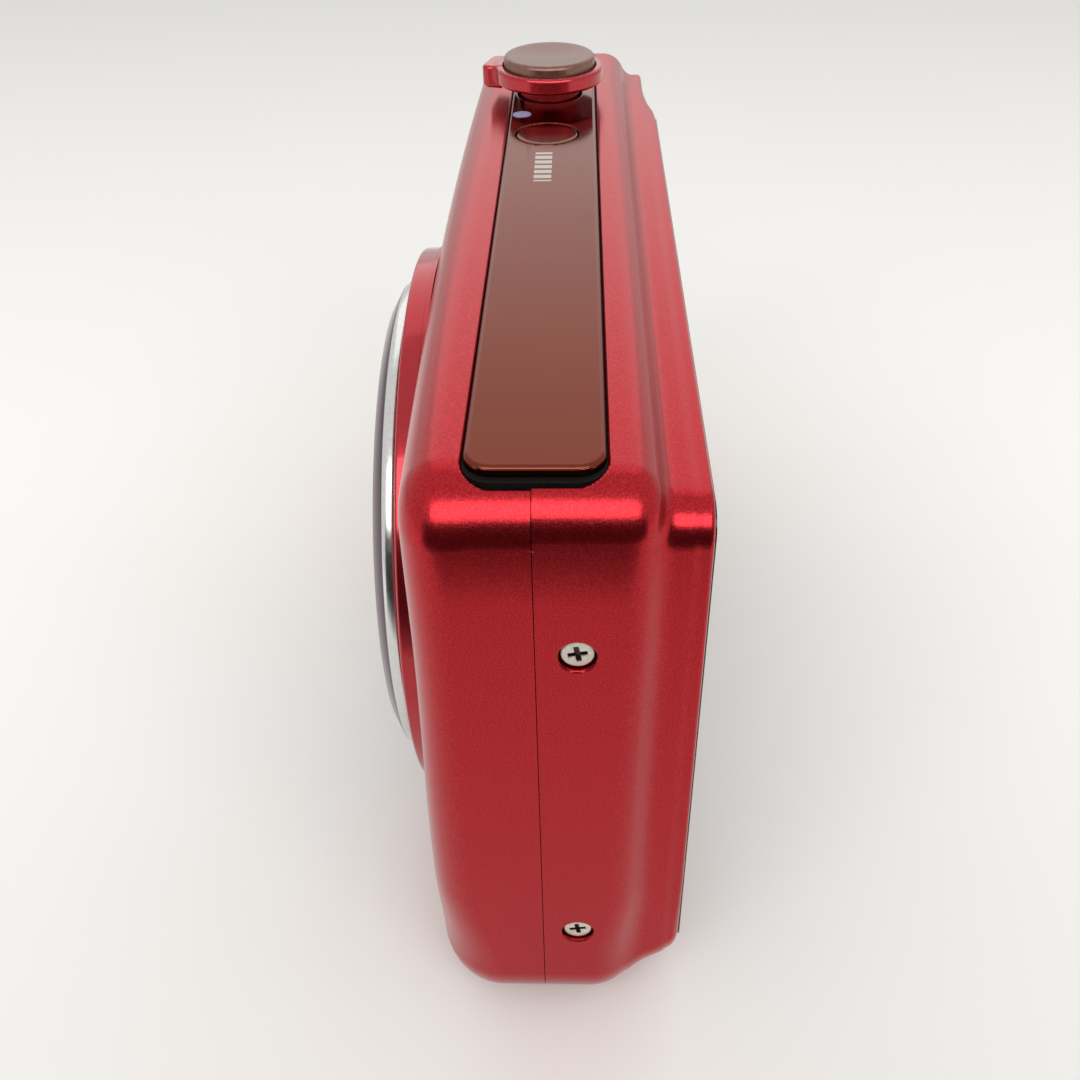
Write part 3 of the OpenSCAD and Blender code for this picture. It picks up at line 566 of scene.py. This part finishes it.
def smooth_by_field(mesh, f):
    """Corner normals from the distance field, taken a little inside each face, so edges stay crisp."""
    co = np.empty(len(mesh.vertices) * 3, np.float32)
    mesh.vertices.foreach_get("co", co)
    co = co.reshape(-1, 3).astype(float)
    loop_vert = np.empty(len(mesh.loops), np.int32)
    mesh.loops.foreach_get("vertex_index", loop_vert)
    start = np.empty(len(mesh.polygons), np.int32)
    mesh.polygons.foreach_get("loop_start", start)
    total = np.diff(np.append(start, len(loop_vert)))
    poly = np.repeat(np.arange(len(start)), total)
    face_n = np.empty(len(start) * 3, np.float32)
    mesh.polygons.foreach_get("normal", face_n)
    face_n = face_n.reshape(-1, 3).astype(float)
    prev_i = np.arange(len(loop_vert)) - 1
    prev_i[start] = start + total - 1
    next_i = np.arange(len(loop_vert)) + 1
    next_i[start + total - 1] = start
    p = co[loop_vert]
    to_prev = co[loop_vert[prev_i]] - p
    to_next = co[loop_vert[next_i]] - p
    inward = to_prev / np.maximum(np.linalg.norm(to_prev, axis=1), 1e-12)[:, None]
    inward += to_next / np.maximum(np.linalg.norm(to_next, axis=1), 1e-12)[:, None]
    side = np.sign(np.einsum("ij,ij->i", np.cross(to_next, to_prev), face_n[poly]))
    q = (p + inward * (REACH * MM) * side[:, None]) / MM - (0, SEAM, 0)
    n = gradient(f, q)
    area = np.empty(len(start), np.float32)
    mesh.polygons.foreach_get("area", area)
    keep_flat = (np.einsum("ij,ij->i", n, face_n[poly]) < 0.5) | (area[poly] > LARGE_FACE)
    n[keep_flat] = face_n[poly][keep_flat]
    mesh.polygons.foreach_set("use_smooth", np.ones(len(start), bool))
    mesh.normals_split_custom_set(n.tolist())


# ---------------------------------------------------------------- the two covers
WALL = 1.1                       # wall of the covers
PANEL_WALL = 0.85                # wall behind the display panel
REAR = 8.6                       # rear face, without the raised step round the display
GAP = 0.03                       # half the seam between the covers
TAPER_Z = 50.2                   # the end faces lean in above this height
TAPER = 0.7                      # how far they lean in at the top
LEDGE_Y = sides(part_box("rear_cover"))[1][1]
LEDGE_INSET = 1.9                # the raised step stays this far from the end faces
LEDGE = (-HALF + LEDGE_INSET, HALF - LEDGE_INSET, 5.2, TOP - 2.45)
THUMB_Y = LEDGE_Y - 1.1          # the lower end of the step, where the thumb rests
THUMB_X = -34.5                  # the step has its full height from here on
STRIP_CORNER = 2.0
POCKET_GAP = 0.12
POCKET_END_GAP = 0.7
POCKET = (-STRIP_X - POCKET_END_GAP, STRIP_X + POCKET_END_GAP, STRIP_Y0 - POCKET_GAP, STRIP_Y1 + POCKET_GAP)
POCKET_CORNER = STRIP_CORNER + 0.12
PANEL_GAP = 0.1
SHUTTER_HOLE_R = 3.7
POWER_HOLE_R = 2.1
LENS_HOLE_R = 25.1
FRONT_HOLE_Y = -6.5              # the openings in the front face are cut back to here
WINDOW_GAP = 0.05                # round the flash window and the lamps
SCREW_HOLE_R = 1.36
SCREWS = (12.95, 45.9)           # heights of the end screws
SCREW_Y = 2.95
BASE_SCREWS = (40.0, 14.0, -6.0)
DOOR_X, DOOR_Y, _ = sides(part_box("battery_door"))
DOOR_GAP = 0.1
DOOR_END = -12.4                 # hinge end of the battery opening
KNUCKLE = (-12.68, -11.25, -5.1, 3.1)       # recess for the hinge knuckles of the battery door
FLASH_X, _, FLASH_Z = sides(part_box("flash_window"))
AF_X, _, AF_Z = middle(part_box("af_lamp_window"))
AF_HOLE_R = 1.8
BUSH_X, BUSH_Y, _ = middle(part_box("tripod_bush"))
BUSH_HOLE_R = 4.65
MICROPHONE = (37, 52.5, 0.4)     # x, z and radius of the microphone hole
SPEAKER_X = (39.8, 44.2)
SPEAKER_Z = (7.6, 8.2)           # the lowest speaker slot
SPEAKER_PITCH = 1.6
STRAP_HOLE = (-6, -2, 44, 52)    # y0, y1, z0, z1 in the far end face
DISPLAY_HOLE = (-17.5, PANEL[1] - 1.3, 7.5, 53.9)
PORT_HOLE = (0.5, 5.0, 21.1, 34)            # y0, y1, z0, z1 of the connector opening
PORT_KNUCKLE = (1.1, 4.4, 19.95, 21.4)      # and of the recess for its hinge
BASE_DEPTH = 3                   # openings in the base are cut up to this height
END_DEPTH = 45                   # openings in the end faces are cut in to this x
FLANGE = (9.2, 9.7)              # y of the flange that holds a key behind the panel
FLANGE_OUT = 0.5                 # how far the flange reaches past the key
KEY_BODY = {"selector_pad": "pad_key", "ok_button": "ok_key", "menu_button": "menu_key",
            "delete_button": "delete_key", "play_button": "play_key", "record_button": "record_key"}
KEYS = {}
for key in KEY_BODY:
    key_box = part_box(key)
    key_x, _, key_z = middle(key_box)
    KEYS[key] = (key_x, key_z, half_width(key_box) - FLANGE_OUT)


def body_form(x, y, z):
    """The closed outside of both covers: the main body and the raised step round the display."""
    front = np.clip(y / FRONT, 0, 1)
    rise = np.clip((z - 20) / 26, 0, 1)
    bow = 0.45 + 0.6 * rise * rise * (3 - 2 * rise)
    bowed_y = y - bow * (x / HALF) ** 2 * front
    upper = z > TOP / 2
    corner = np.where(upper, 3.6 + 1.2 * front, np.where(x > 0, 6.4, 5.4))
    foot = ease(np.clip((18 - z) / 12, 0, 1)) * np.clip((x - 8) / 18, 0, 1)
    edge = np.where(bowed_y < 0, 3.7 + 2.1 * foot, 3.1 - 0.5 * rise * rise + 1.5 * foot)
    corner = np.maximum(corner, edge + 0.3)
    taper = TAPER * (np.clip(z - TAPER_Z, 0, None) / (TOP - TAPER_Z)) ** 2
    main = extrude(rect2(np.abs(x) + taper, z, -HALF, HALF, 0, TOP, corner), bowed_y, FRONT, REAR, edge)
    sill = LEDGE[2] - 0.8 * np.clip(LEDGE_Y - y, 0, 4.2)
    outline = rect2(x, z, LEDGE[0], LEDGE[1], sill, LEDGE[3], np.where(upper, 2.9, 4.6))
    low = extrude(outline, y, 0, THUMB_Y, 0.5)
    high = extrude(outline, y, 0, LEDGE_Y, 0.35 + 0.5 * foot)
    slope = (y - THUMB_Y - (x - THUMB_X + 2.8) * 0.2) / 1.02
    high = smax(high, slope, 1.2)
    return smin(main, smin(low, high, 0.6), 1.1)


def pocket_form(x, y, z):
    """The recess that the top strip lies in."""
    return np.maximum(rect2(x, y, *POCKET, POCKET_CORNER), STRIP_Z0 - z)


def panel_form(x, y, z):
    """The recess that the display panel lies in."""
    return np.maximum(grown(x, z, PANEL, PANEL_GAP, 2.1), PANEL_Y[0] - y)


def shell_form(x, y, z):
    """Both covers in one: hollow, with the recesses and the openings in the top and the base."""
    outside = body_form(x, y, z)
    pocket = pocket_form(x, y, z)
    panel = panel_form(x, y, z)
    d = np.maximum(smax(outside, -pocket, 0.35), -panel)
    hollow = np.maximum(np.maximum(outside + WALL, WALL - pocket), PANEL_WALL - panel)
    d = np.maximum(d, -hollow)
    top_side = TOP - 6 - z
    for cx, cy, r in ((SHUT_X, SHUT_Y, SHUTTER_HOLE_R), (POWER_X, SHUT_Y, POWER_HOLE_R),
                      (LAMP_X, LAMP_Y, LAMP_R + WINDOW_GAP)):
        d = np.maximum(d, -np.maximum(disc(x, y, cx, cy, r), top_side))
    door = rect2(x, y, DOOR_X[0] - DOOR_GAP, DOOR_END, DOOR_Y[0] - DOOR_GAP, DOOR_Y[1] + DOOR_GAP, 0.3)
    knuckle = rect2(x, y, *KNUCKLE, 0.02)
    bush = disc(x, y, BUSH_X, BUSH_Y, BUSH_HOLE_R)
    return np.maximum(d, -np.maximum(np.minimum(np.minimum(door, knuckle), bush), z - BASE_DEPTH))


def front_form(x, y, z):
    """Front cover: lens, flash, focus lamp, microphone, speaker and strap openings."""
    d = shell_form(x, y, z)
    holes = disc(x, z, LENS_X, LENS_Z, LENS_HOLE_R)
    holes = np.minimum(holes, grown(x, z, (*FLASH_X, *FLASH_Z), WINDOW_GAP, 1.0))
    holes = np.minimum(holes, disc(x, z, AF_X, AF_Z, AF_HOLE_R))
    holes = np.minimum(holes, disc(x, z, *MICROPHONE))
    for i in range(3):
        low, high = (v + SPEAKER_PITCH * i for v in SPEAKER_Z)
        holes = np.minimum(holes, rect2(x, z, *SPEAKER_X, low, high, 0.29))
    d = smax(d, -np.maximum(holes, y - FRONT_HOLE_Y), 0.12)
    strap = np.maximum(rect2(y, z, *STRAP_HOLE, 1.9), x + END_DEPTH)
    d = smax(d, -strap, 0.3)
    return np.maximum(d, y + GAP)


def rear_form(x, y, z):
    """Rear cover: display, key, screw and connector openings."""
    d = shell_form(x, y, z)
    keys = rect2(x, z, *DISPLAY_HOLE, 1.0)
    for cx, cz, r in KEYS.values():
        keys = np.minimum(keys, disc(x, z, cx, cz, r + 0.15))
    d = np.maximum(d, -np.maximum(keys, 5 - y))
    ends = np.min([disc(y, z, SCREW_Y, cz, SCREW_HOLE_R) for cz in SCREWS], axis=0)
    d = smax(d, -np.maximum(ends, 44 - np.abs(x)), 0.16)
    base = np.min([disc(x, y, cx, SCREW_Y, SCREW_HOLE_R) for cx in BASE_SCREWS], axis=0)
    d = smax(d, -np.maximum(base, z - BASE_DEPTH), 0.16)
    port = np.minimum(rect2(y, z, *PORT_HOLE, 0.3), rect2(y, z, *PORT_KNUCKLE, 0.02))
    d = np.maximum(d, -np.maximum(port, x + END_DEPTH))
    return np.maximum(d, GAP - y)


# The grids are fine where the shape has edges and openings.
coarse = 1.0
X_GRID = steps((-HALF - 0.3, -44.5, 0.3 * coarse), (-44.5, -33.5, 0.8 * coarse), (-33.5, -17, 0.42 * coarse),
               (-17, -12.6, 0.8 * coarse), (-12.6, -7.5, 0.35 * coarse), (-7.5, 35.5, 1.0 * coarse),
               (35.5, 44.6, 0.5 * coarse), (44.6, HALF + 0.3, 0.16 * coarse))
Z_GRID = steps((-0.3, 7, 0.3 * coarse), (7, 11.6, 0.4 * coarse), (11.6, 15, 0.16 * coarse),
               (15, 29, 0.6 * coarse), (29, 44.5, 0.8 * coarse), (44.5, 47.9, 0.16 * coarse),
               (47.9, 54.5, 0.45 * coarse), (54.5, TOP + 0.3, 0.16 * coarse))
Y_FRONT = steps((FRONT - 0.3, -5.2, 0.22 * coarse), (-5.2, -4, 0.12 * coarse), (-4, -0.5, 0.4 * coarse),
                (-0.5, 0.3, 0.16))
Y_REAR = steps((-0.3, 0.5, 0.16), (0.5, 1.3, 0.3 * coarse), (1.3, 5.2, 0.16 * coarse),
               (5.2, LEDGE_Y + 0.3, 0.17 * coarse))
FRONT_GRID = (X_GRID, Y_FRONT, Z_GRID)
REAR_GRID = (X_GRID, Y_REAR, Z_GRID)

field_piece("front_cover_shell", front_form, FRONT_GRID, "red_paint", "camera_body", "front_cover")
field_piece("rear_cover_shell", rear_form, REAR_GRID, "red_paint", "camera_body", "rear_cover")


# ---------------------------------------------------------------- top strip and the painted shade in its gap
def strip_form(x, y, z):
    """Flat strip with holes for the release, the power button and the lamp."""
    outline = rect2(x, y, -STRIP_X, STRIP_X, STRIP_Y0, STRIP_Y1, STRIP_CORNER)
    d = extrude(outline, z, STRIP_Z0, STRIP_Z1, 0.4)
    d = smax(d, -disc(x, y, SHUT_X, SHUT_Y, SHUTTER_HOLE_R), 0.1)
    d = smax(d, -disc(x, y, POWER_X, SHUT_Y, POWER_R + 0.12), 0.12)
    return smax(d, -disc(x, y, LAMP_X, LAMP_Y, LAMP_R + WINDOW_GAP), 0.1)


STRIP_GRID = (steps((-STRIP_X - 0.3, -STRIP_X + 3.2, 0.2 * coarse), (-STRIP_X + 3.2, -33, 0.8),
                    (-33, -10, 0.25 * coarse), (-10, STRIP_X - 3.2, 0.8),
                    (STRIP_X - 3.2, STRIP_X + 0.3, 0.1 * coarse)),
              steps((STRIP_Y0 - 0.3, STRIP_Y1 + 0.3, 0.14 * coarse)),
              steps((STRIP_Z0 - 0.3, STRIP_Z0 + 0.7, 0.2), (STRIP_Z0 + 0.7, STRIP_Z1 + 0.2, 0.1)))
field_piece("top_strip_cover", strip_form, STRIP_GRID, "smoke_gloss", "camera_body", "top_strip")


def gap_shade_form(x, y, z):
    """A flat dark frame at the foot of the gap round the strip: painted shade, where the gap lies in shadow.
    """
    inner = grown(x, y, (-STRIP_X, STRIP_X, STRIP_Y0, STRIP_Y1), 0.02, STRIP_CORNER)
    outer = grown(x, y, POCKET, -0.02, POCKET_CORNER)
    return np.maximum(np.maximum(outer, -inner), np.abs(z - (STRIP_Z0 + 0.3)) - 0.28)


GAP_SHADE_GRID = (steps((POCKET[0] - 0.2, -STRIP_X + 2.4, 0.16), (-STRIP_X + 2.4, STRIP_X - 2.4, 2.0),
                   (STRIP_X - 2.4, POCKET[1] + 0.2, 0.16)),
             steps((POCKET[2] - 0.1, POCKET[2] + 2.4, 0.05), (POCKET[2] + 2.4, POCKET[3] - 2.4, 0.4),
                   (POCKET[3] - 2.4, POCKET[3] + 0.1, 0.05)),
             steps((STRIP_Z0 - 0.1, STRIP_Z0 + 0.7, 0.1)))
# A dark frame of painted shade fills the foot of the gap round the strip.
gap_shade = field_piece("strip_gap_painted_shade", gap_shade_form, GAP_SHADE_GRID, "black_plastic", "camera_body")
gap_shade.data.materials[0] = gap_shade_material()


# ---------------------------------------------------------------- turned pieces
def turned(name, profile, centre, axis, segments, closed=True):
    """Surface of revolution round axis 'y' or 'z' through centre. profile is (radius, along) points."""
    profile = np.asarray(profile, float)
    angles = np.linspace(0, 2 * math.pi, segments, endpoint=False)
    radius, along = profile[:, 0], profile[:, 1]
    second, third = (2, 1) if axis == "y" else (1, 2)
    ring = np.empty((segments, len(profile), 3))
    ring[..., 0] = centre[0] + np.cos(angles)[:, None] * radius
    ring[..., second] = centre[second] + np.sin(angles)[:, None] * radius
    ring[..., third] = centre[third] + along
    count = len(profile)
    last = count if closed else count - 1
    faces = []
    for s in range(segments):
        here, there = s * count, (s + 1) % segments * count
        for k in range(last):
            k2 = (k + 1) % count
            faces.append((here + k, here + k2, there + k2, there + k))
    mesh = bpy.data.meshes.new(name)
    mesh.from_pydata(to_scene(ring.reshape(-1, 3)).tolist(), [], faces)
    bm = bmesh.new()
    bm.from_mesh(mesh)
    bmesh.ops.remove_doubles(bm, verts=bm.verts, dist=1e-7)
    bmesh.ops.dissolve_degenerate(bm, edges=bm.edges, dist=1e-8)
    bmesh.ops.recalc_face_normals(bm, faces=bm.faces)
    bm.to_mesh(mesh)
    bm.free()
    mesh.polygons.foreach_set("use_smooth", np.ones(len(mesh.polygons), bool))
    mesh.set_sharp_from_angle(angle=math.radians(28))
    return add_object(name, mesh)


def arc(cr, ct, r, a0, a1, n=8):
    """n points on an arc round (cr, ct), from a0 to a1 degrees."""
    a = np.radians(np.linspace(a0, a1, n))
    return [(cr + r * math.cos(v), ct + r * math.sin(v)) for v in a]


LENS = (LENS_X, 0, LENS_Z)
foot_ring = [(24.2, -8.6), (24.2, -10.6), (26.15, -11.9)] + arc(26.5, -11.65, 0.28, 230, 360, 8) + \
    [(26.8, -10.6), (26.8, -10.3), (27, -10.2), (27, FRONT), (25, FRONT), (25, -8.6)]
place(turned("lens_surround_ring", foot_ring, LENS, "y", 256), "red_gloss", "camera_body", "lens_base_ring")

trim_ring = [(20.1, -9), (20.1, -14.15)] + arc(20.55, -14.15, 0.45, 180, 270, 5) + \
    [(21.55, -14.6), (21.9, -14.5), (23.4, -13.66), (23.62, -13.4), (23.78, -12.95), (23.8, -12.7)] + \
    [(23.74, -12.52), (23.6, -12.5), (22.6, -12.5), (22.6, -9)]
BAND_Y = -13.5                   # the dark band of painted reflection on the trim ring lies in front of this
chrome_ring = turned("lens_chrome_ring", trim_ring, LENS, "y", 256)
chrome_ring.data.materials.append(ring_material((SEAM + BAND_Y) * MM))
place(chrome_ring, "chrome", "camera_body", "lens_trim_ring")

DISH_R = 30.05                   # the button top is a hollow part of a sphere of this radius
DISH_Z = 93.6                    # height of the middle of that sphere
BUTTON_FOOT = 62.6
dish = [(r, DISH_Z - math.sqrt(DISH_R ** 2 - r * r)) for r in (1, 2, 3, 4)]
button = [(0, DISH_Z - DISH_R)] + dish + arc(BUTTON_R - 0.5, 63.38, 0.5, 90, 0, 8) + \
    [(BUTTON_R, BUTTON_FOOT), (1.5, BUTTON_FOOT), (1.5, 56.5), (0, 56.5)]
place(turned("shutter_button_cap", button, (SHUT_X, SHUT_Y, 0), "z", 128, closed=False), "key_plastic",
      "shutter_release", "shutter_button")

POWER_FOOT = STRIP_Z0 + 0.45
power = [(r, STRIP_Z1) for r in (0, 1.5, 2.6)] + arc(POWER_R - 0.18, STRIP_Z1 - 0.18, 0.18, 90, 0, 5) + \
    [(POWER_R, POWER_FOOT), (1.9, POWER_FOOT), (1.9, 56.4), (0, 56.4)]
place(turned("power_button_cap", power, (POWER_X, SHUT_Y, 0), "z", 96, closed=False), "smoke_gloss",
      "power_key", "power_button")


# ---------------------------------------------------------------- rear keys
KEY_TOP = sides(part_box("ok_button"))[1][1]


def flange_points(r):
    return [(r, FLANGE[1]), (r + FLANGE_OUT, FLANGE[1]), (r + FLANGE_OUT, FLANGE[0])]


def key_profile(r):
    """Round key with a crowned top and a flange behind the panel."""
    dome = [(0, KEY_TOP), (0.5 * r, KEY_TOP - 0.02), (0.8 * r, KEY_TOP - 0.06)]
    return dome + arc(r - 0.2, KEY_TOP - 0.3, 0.2, 90, 0, 6) + flange_points(r) + \
        [(0.8, FLANGE[0]), (0.8, 8.7), (0, 8.7)]


def pad_profile(r):
    """Ring-shaped pad round the centre key, with a shallow dish in its top."""
    return [(2.75, 10.1), (2.75, KEY_TOP - 0.3)] + arc(3.0, KEY_TOP - 0.4, 0.25, 180, 90, 5) + \
        [(5.4, KEY_TOP - 0.15), (6.1, KEY_TOP - 0.02)] + arc(r - 0.3, KEY_TOP - 0.3, 0.3, 90, 0, 6) + \
        flange_points(r) + [(3.4, FLANGE[0]), (3.4, 10.1)]


for key, (cx, cz, r) in KEYS.items():
    ring = key == "selector_pad"
    profile = pad_profile(r) if ring else key_profile(r)
    place(turned(key + "_cap", profile, (cx, 0, cz), "y", 96, closed=ring), "key_plastic", KEY_BODY[key], key)

MARK_WHITE = finish("mark_white", (0.52, 0.51, 0.48), (0.60, 0.59, 0.56), 0.0, (0.45, 0.55), 1500.0)
SIGN_RISE = 0.012                # how far a printed sign stands above the key
SIGN_DEPTH = 0.16                # how far it reaches down into the crown


def marks(key, shapes):
    """Thin printed signs on a key. Each shape is a ring of (x, z) points from the middle of the key."""
    cx, cz, _ = KEYS[key]
    vert, faces = [], []
    for shape in shapes:
        n, first = len(shape), len(vert)
        for y in (KEY_TOP - SIGN_DEPTH, KEY_TOP + SIGN_RISE):
            vert += [(cx + u, y, cz + v) for u, v in shape]
        faces.append(tuple(range(first, first + n)))
        faces.append(tuple(range(first + 2 * n - 1, first + n - 1, -1)))
        faces += [(first + k, first + n + k, first + n + (k + 1) % n, first + (k + 1) % n) for k in range(n)]
    mesh = bpy.data.meshes.new(key + "_sign")
    mesh.from_pydata(to_scene(vert).tolist(), [], faces)
    bm = bmesh.new()
    bm.from_mesh(mesh)
    bmesh.ops.recalc_face_normals(bm, faces=bm.faces)
    bm.to_mesh(mesh)
    bm.free()
    sign = add_object(key + "_sign", mesh)
    sign.data.materials.append(MARK_WHITE)
    place(sign, "key_plastic", KEY_BODY[key])


def bar(u, v, w, h):
    """Rectangle w wide and h high round (u, v)."""
    return [(u - w / 2, v - h / 2), (u + w / 2, v - h / 2), (u + w / 2, v + h / 2), (u - w / 2, v + h / 2)]


def polygon(u, v, r, count, turn=0.0):
    """Regular polygon round (u, v) with its first corner at the angle turn."""
    angles = [turn + k * 2 * math.pi / count for k in range(count)]
    return [(u + r * math.cos(a), v + r * math.sin(a)) for a in angles]


QUARTER = math.pi / 2
ARROW_OUT = 4.4                  # the four arrows of the pad stand this far from its middle
marks("selector_pad", [polygon(ARROW_OUT * math.cos(k * QUARTER), ARROW_OUT * math.sin(k * QUARTER), 0.5, 3,
                               k * QUARTER) for k in range(4)])
marks("play_button", [polygon(0, 0, 0.75, 3, math.pi)])
marks("record_button", [polygon(0, 0, 0.6, 32)])
marks("menu_button", [bar(0, v, 1.5, 0.2) for v in (-0.45, 0, 0.45)])
marks("delete_button", [bar(0, -0.15, 0.9, 0.9), bar(0, 0.5, 1.3, 0.18)])


# ---------------------------------------------------------------- zoom collar
COLLAR_R = 6.0
COLLAR_Z = (61.1, 62.8)
COLLAR_BORE_R = 1.6
TAB_ANGLE = -107                 # direction of the finger tab, in degrees from +x
TAB = (4.2, 7.5, -2.2, 2.2)      # its outline along and across that direction
TAB_Z = (60.3, 62.7)
NECK_R = 3.4                     # neck of the collar, down through the strip
NECK_Z = 58.6                    # middle of the neck
RECESS_Z = 61.7                  # floor of the recess that the button sinks into


def collar_form(x, y, z):
    """Ring round the release with a finger tab, and its neck down through the strip."""
    u, v = x - SHUT_X, y - SHUT_Y
    radius = np.hypot(u, v)
    ring = extrude(radius - COLLAR_R, z, *COLLAR_Z, 0.4)
    a = math.radians(TAB_ANGLE)
    s = u * math.cos(a) + v * math.sin(a)
    t = -u * math.sin(a) + v * math.cos(a)
    tab = extrude(rect2(s, t, *TAB, 0.95), z, *TAB_Z, 0.4)
    tab = np.maximum(tab, 5.4 - radius)
    d = smin(ring, tab, 0.5)
    d = np.minimum(d, np.maximum(radius - NECK_R, np.abs(z - NECK_Z) - 2.6))
    d = smax(d, -np.maximum(radius - BUTTON_R - 0.15, RECESS_Z - z), 0.15)
    return np.maximum(d, COLLAR_BORE_R - radius)


COLLAR_GRID = (steps((SHUT_X - 6.4, SHUT_X + 6.4, 0.16 * coarse)),
               steps((SHUT_Y - 8.0, SHUT_Y + 6.4, 0.16 * coarse)),
               steps((55.6, 59.9, 0.4), (59.9, 63.1, 0.1)))
field_piece("zoom_collar_ring", collar_form, COLLAR_GRID, "red_gloss", "zoom_collar", "zoom_lever")


# ---------------------------------------------------------------- case screws
CROSS = (0.7, 0.19)              # half length and half width of an arm of the cross recess
CROSS_DEPTH = 0.4
CROSS_ANGLE = 10


def screw_form(x, y, z):
    """Screw along +z, with the top of its head at z = 0."""
    head = extrude(np.hypot(x, y) - 1.2, z, -0.6, 0, 0.12)
    shank = np.maximum(np.hypot(x, y) - 0.7, np.abs(z + 1.7) - 1.3)
    a = math.radians(CROSS_ANGLE)
    s, t = x * math.cos(a) + y * math.sin(a), y * math.cos(a) - x * math.sin(a)
    long, wide = CROSS
    cross = np.minimum(rect2(s, t, -long, long, -wide, wide, 0.08),
                       rect2(s, t, -wide, wide, -long, long, 0.08))
    cross = np.maximum(cross, -CROSS_DEPTH - z)
    return smax(np.minimum(head, shank), -cross, 0.06)


SCREW_ACROSS = steps((-1.3, 1.3, 0.052))
SCREW_ALONG = steps((-3.05, -0.7, 0.3), (-0.7, 0.06, 0.05))
SCREW_VERT, SCREW_FACES = dual_contour(screw_form, SCREW_ACROSS, SCREW_ACROSS, SCREW_ALONG)


def screws(name, node, frames):
    """One object with a copy of the screw in each (matrix, place) frame."""
    vert = np.concatenate([SCREW_VERT @ np.array(m, float).T + p for m, p in frames])
    faces = np.concatenate([SCREW_FACES + len(SCREW_VERT) * i for i in range(len(frames))])
    mesh = bpy.data.meshes.new(name)
    mesh.from_pydata(to_scene(vert).tolist(), [], faces.tolist())
    mesh.polygons.foreach_set("use_smooth", np.ones(len(mesh.polygons), bool))
    mesh.set_sharp_from_angle(angle=math.radians(38))
    return place(add_object(name, mesh), "screw_steel", "camera_body", node)


TO_RIGHT = ((0, 0, 1), (0, 1, 0), (-1, 0, 0))
TO_LEFT = ((0, 0, -1), (0, 1, 0), (1, 0, 0))
DOWN = ((1, 0, 0), (0, -1, 0), (0, 0, -1))
screws("end_screw_heads", "end_screws", [(TO_RIGHT, (HALF - SCREW_SINK, SCREW_Y, z)) for z in SCREWS] +
       [(TO_LEFT, (SCREW_SINK - HALF, SCREW_Y, z)) for z in SCREWS])
screws("base_screw_heads", "base_screws", [(DOWN, (x, SCREW_Y, SCREW_SINK)) for x in BASE_SCREWS])

# ---------------------------------------------------------------- stage, camera, light
FLOOR_HALF = 3.0                  # half the side of the floor, in metres
floor_corners = [(x * FLOOR_HALF, y * FLOOR_HALF, 0) for x, y in ((-1, -1), (1, -1), (1, 1), (-1, 1))]
floor_mesh = bpy.data.meshes.new("floor")
floor_mesh.from_pydata(floor_corners, [], [(0, 1, 2, 3)])
floor = add_object("floor", floor_mesh)
floor_mesh.materials.append(floor_material())

CAMERA_PLACE = (105.49, 3.02, 101.18)
SENSOR_MM = 36
FOCAL_MM = 38.26667
PITCH, YAW, ROLL = (math.radians(v) for v in (38.49, -2.469, -1.507))
forward = Vector((-math.cos(PITCH) * math.cos(YAW), math.cos(PITCH) * math.sin(YAW), -math.sin(PITCH)))
level_right = forward.cross(Vector((0, 0, 1))).normalized()
level_up = level_right.cross(forward)
right = level_right * math.cos(ROLL) + level_up * math.sin(ROLL)
up = level_up * math.cos(ROLL) - level_right * math.sin(ROLL)
cam_data = bpy.data.cameras.new("camera")
cam_data.sensor_width = SENSOR_MM
cam_data.lens = FOCAL_MM
cam_data.clip_start = 0.005
camera = add_object("camera", cam_data)
rotation = Matrix((right, up, -forward)).transposed().to_4x4()
camera.matrix_world = Matrix.Translation(Vector(to_scene(CAMERA_PLACE))) @ rotation
bpy.context.scene.camera = camera

world = bpy.data.worlds.new("studio")
world.use_nodes = True
background = world.node_tree.nodes["Background"]
background.inputs["Color"].default_value = (1.0, 0.995, 0.975, 1)
background.inputs["Strength"].default_value = 0.82
bpy.context.scene.world = world


def softbox(name, size, energy, location, target):
    """Rectangular light in metres and watts that faces the target."""
    data = bpy.data.lights.new(name, "AREA")
    data.shape = "RECTANGLE"
    data.size, data.size_y = size
    data.energy = energy
    lamp = add_object(name, data)
    lamp.location = location
    lamp.rotation_euler = (Vector(target) - Vector(location)).to_track_quat("-Z", "Y").to_euler()


softbox("key_light", (1.3, 0.40), 4.7, (0.55, 0.0, 0.56), (0.03, 0, 0.04))
softbox("sky_panel", (1.0, 0.8), 1.2, (-0.62, 0.0, 0.56), (-0.05, 0, 0.04))


def card(name, x, y0, y1, z1):
    """Upright card that the camera does not see, for what the end face reflects. Metres."""
    mesh = bpy.data.meshes.new(name)
    mesh.from_pydata([(x, y0, 0), (x, y1, 0), (x, y1, z1), (x, y0, z1)], [], [(0, 1, 2, 3)])
    mesh.materials.append(card_material(name + "_shade", z1))
    panel = add_object(name, mesh)
    panel.visible_camera = False
    panel.visible_shadow = False


card("near_card", 0.112, -0.12, 0.13, 0.090)
bpy.context.scene.view_settings.view_transform = "Standard"
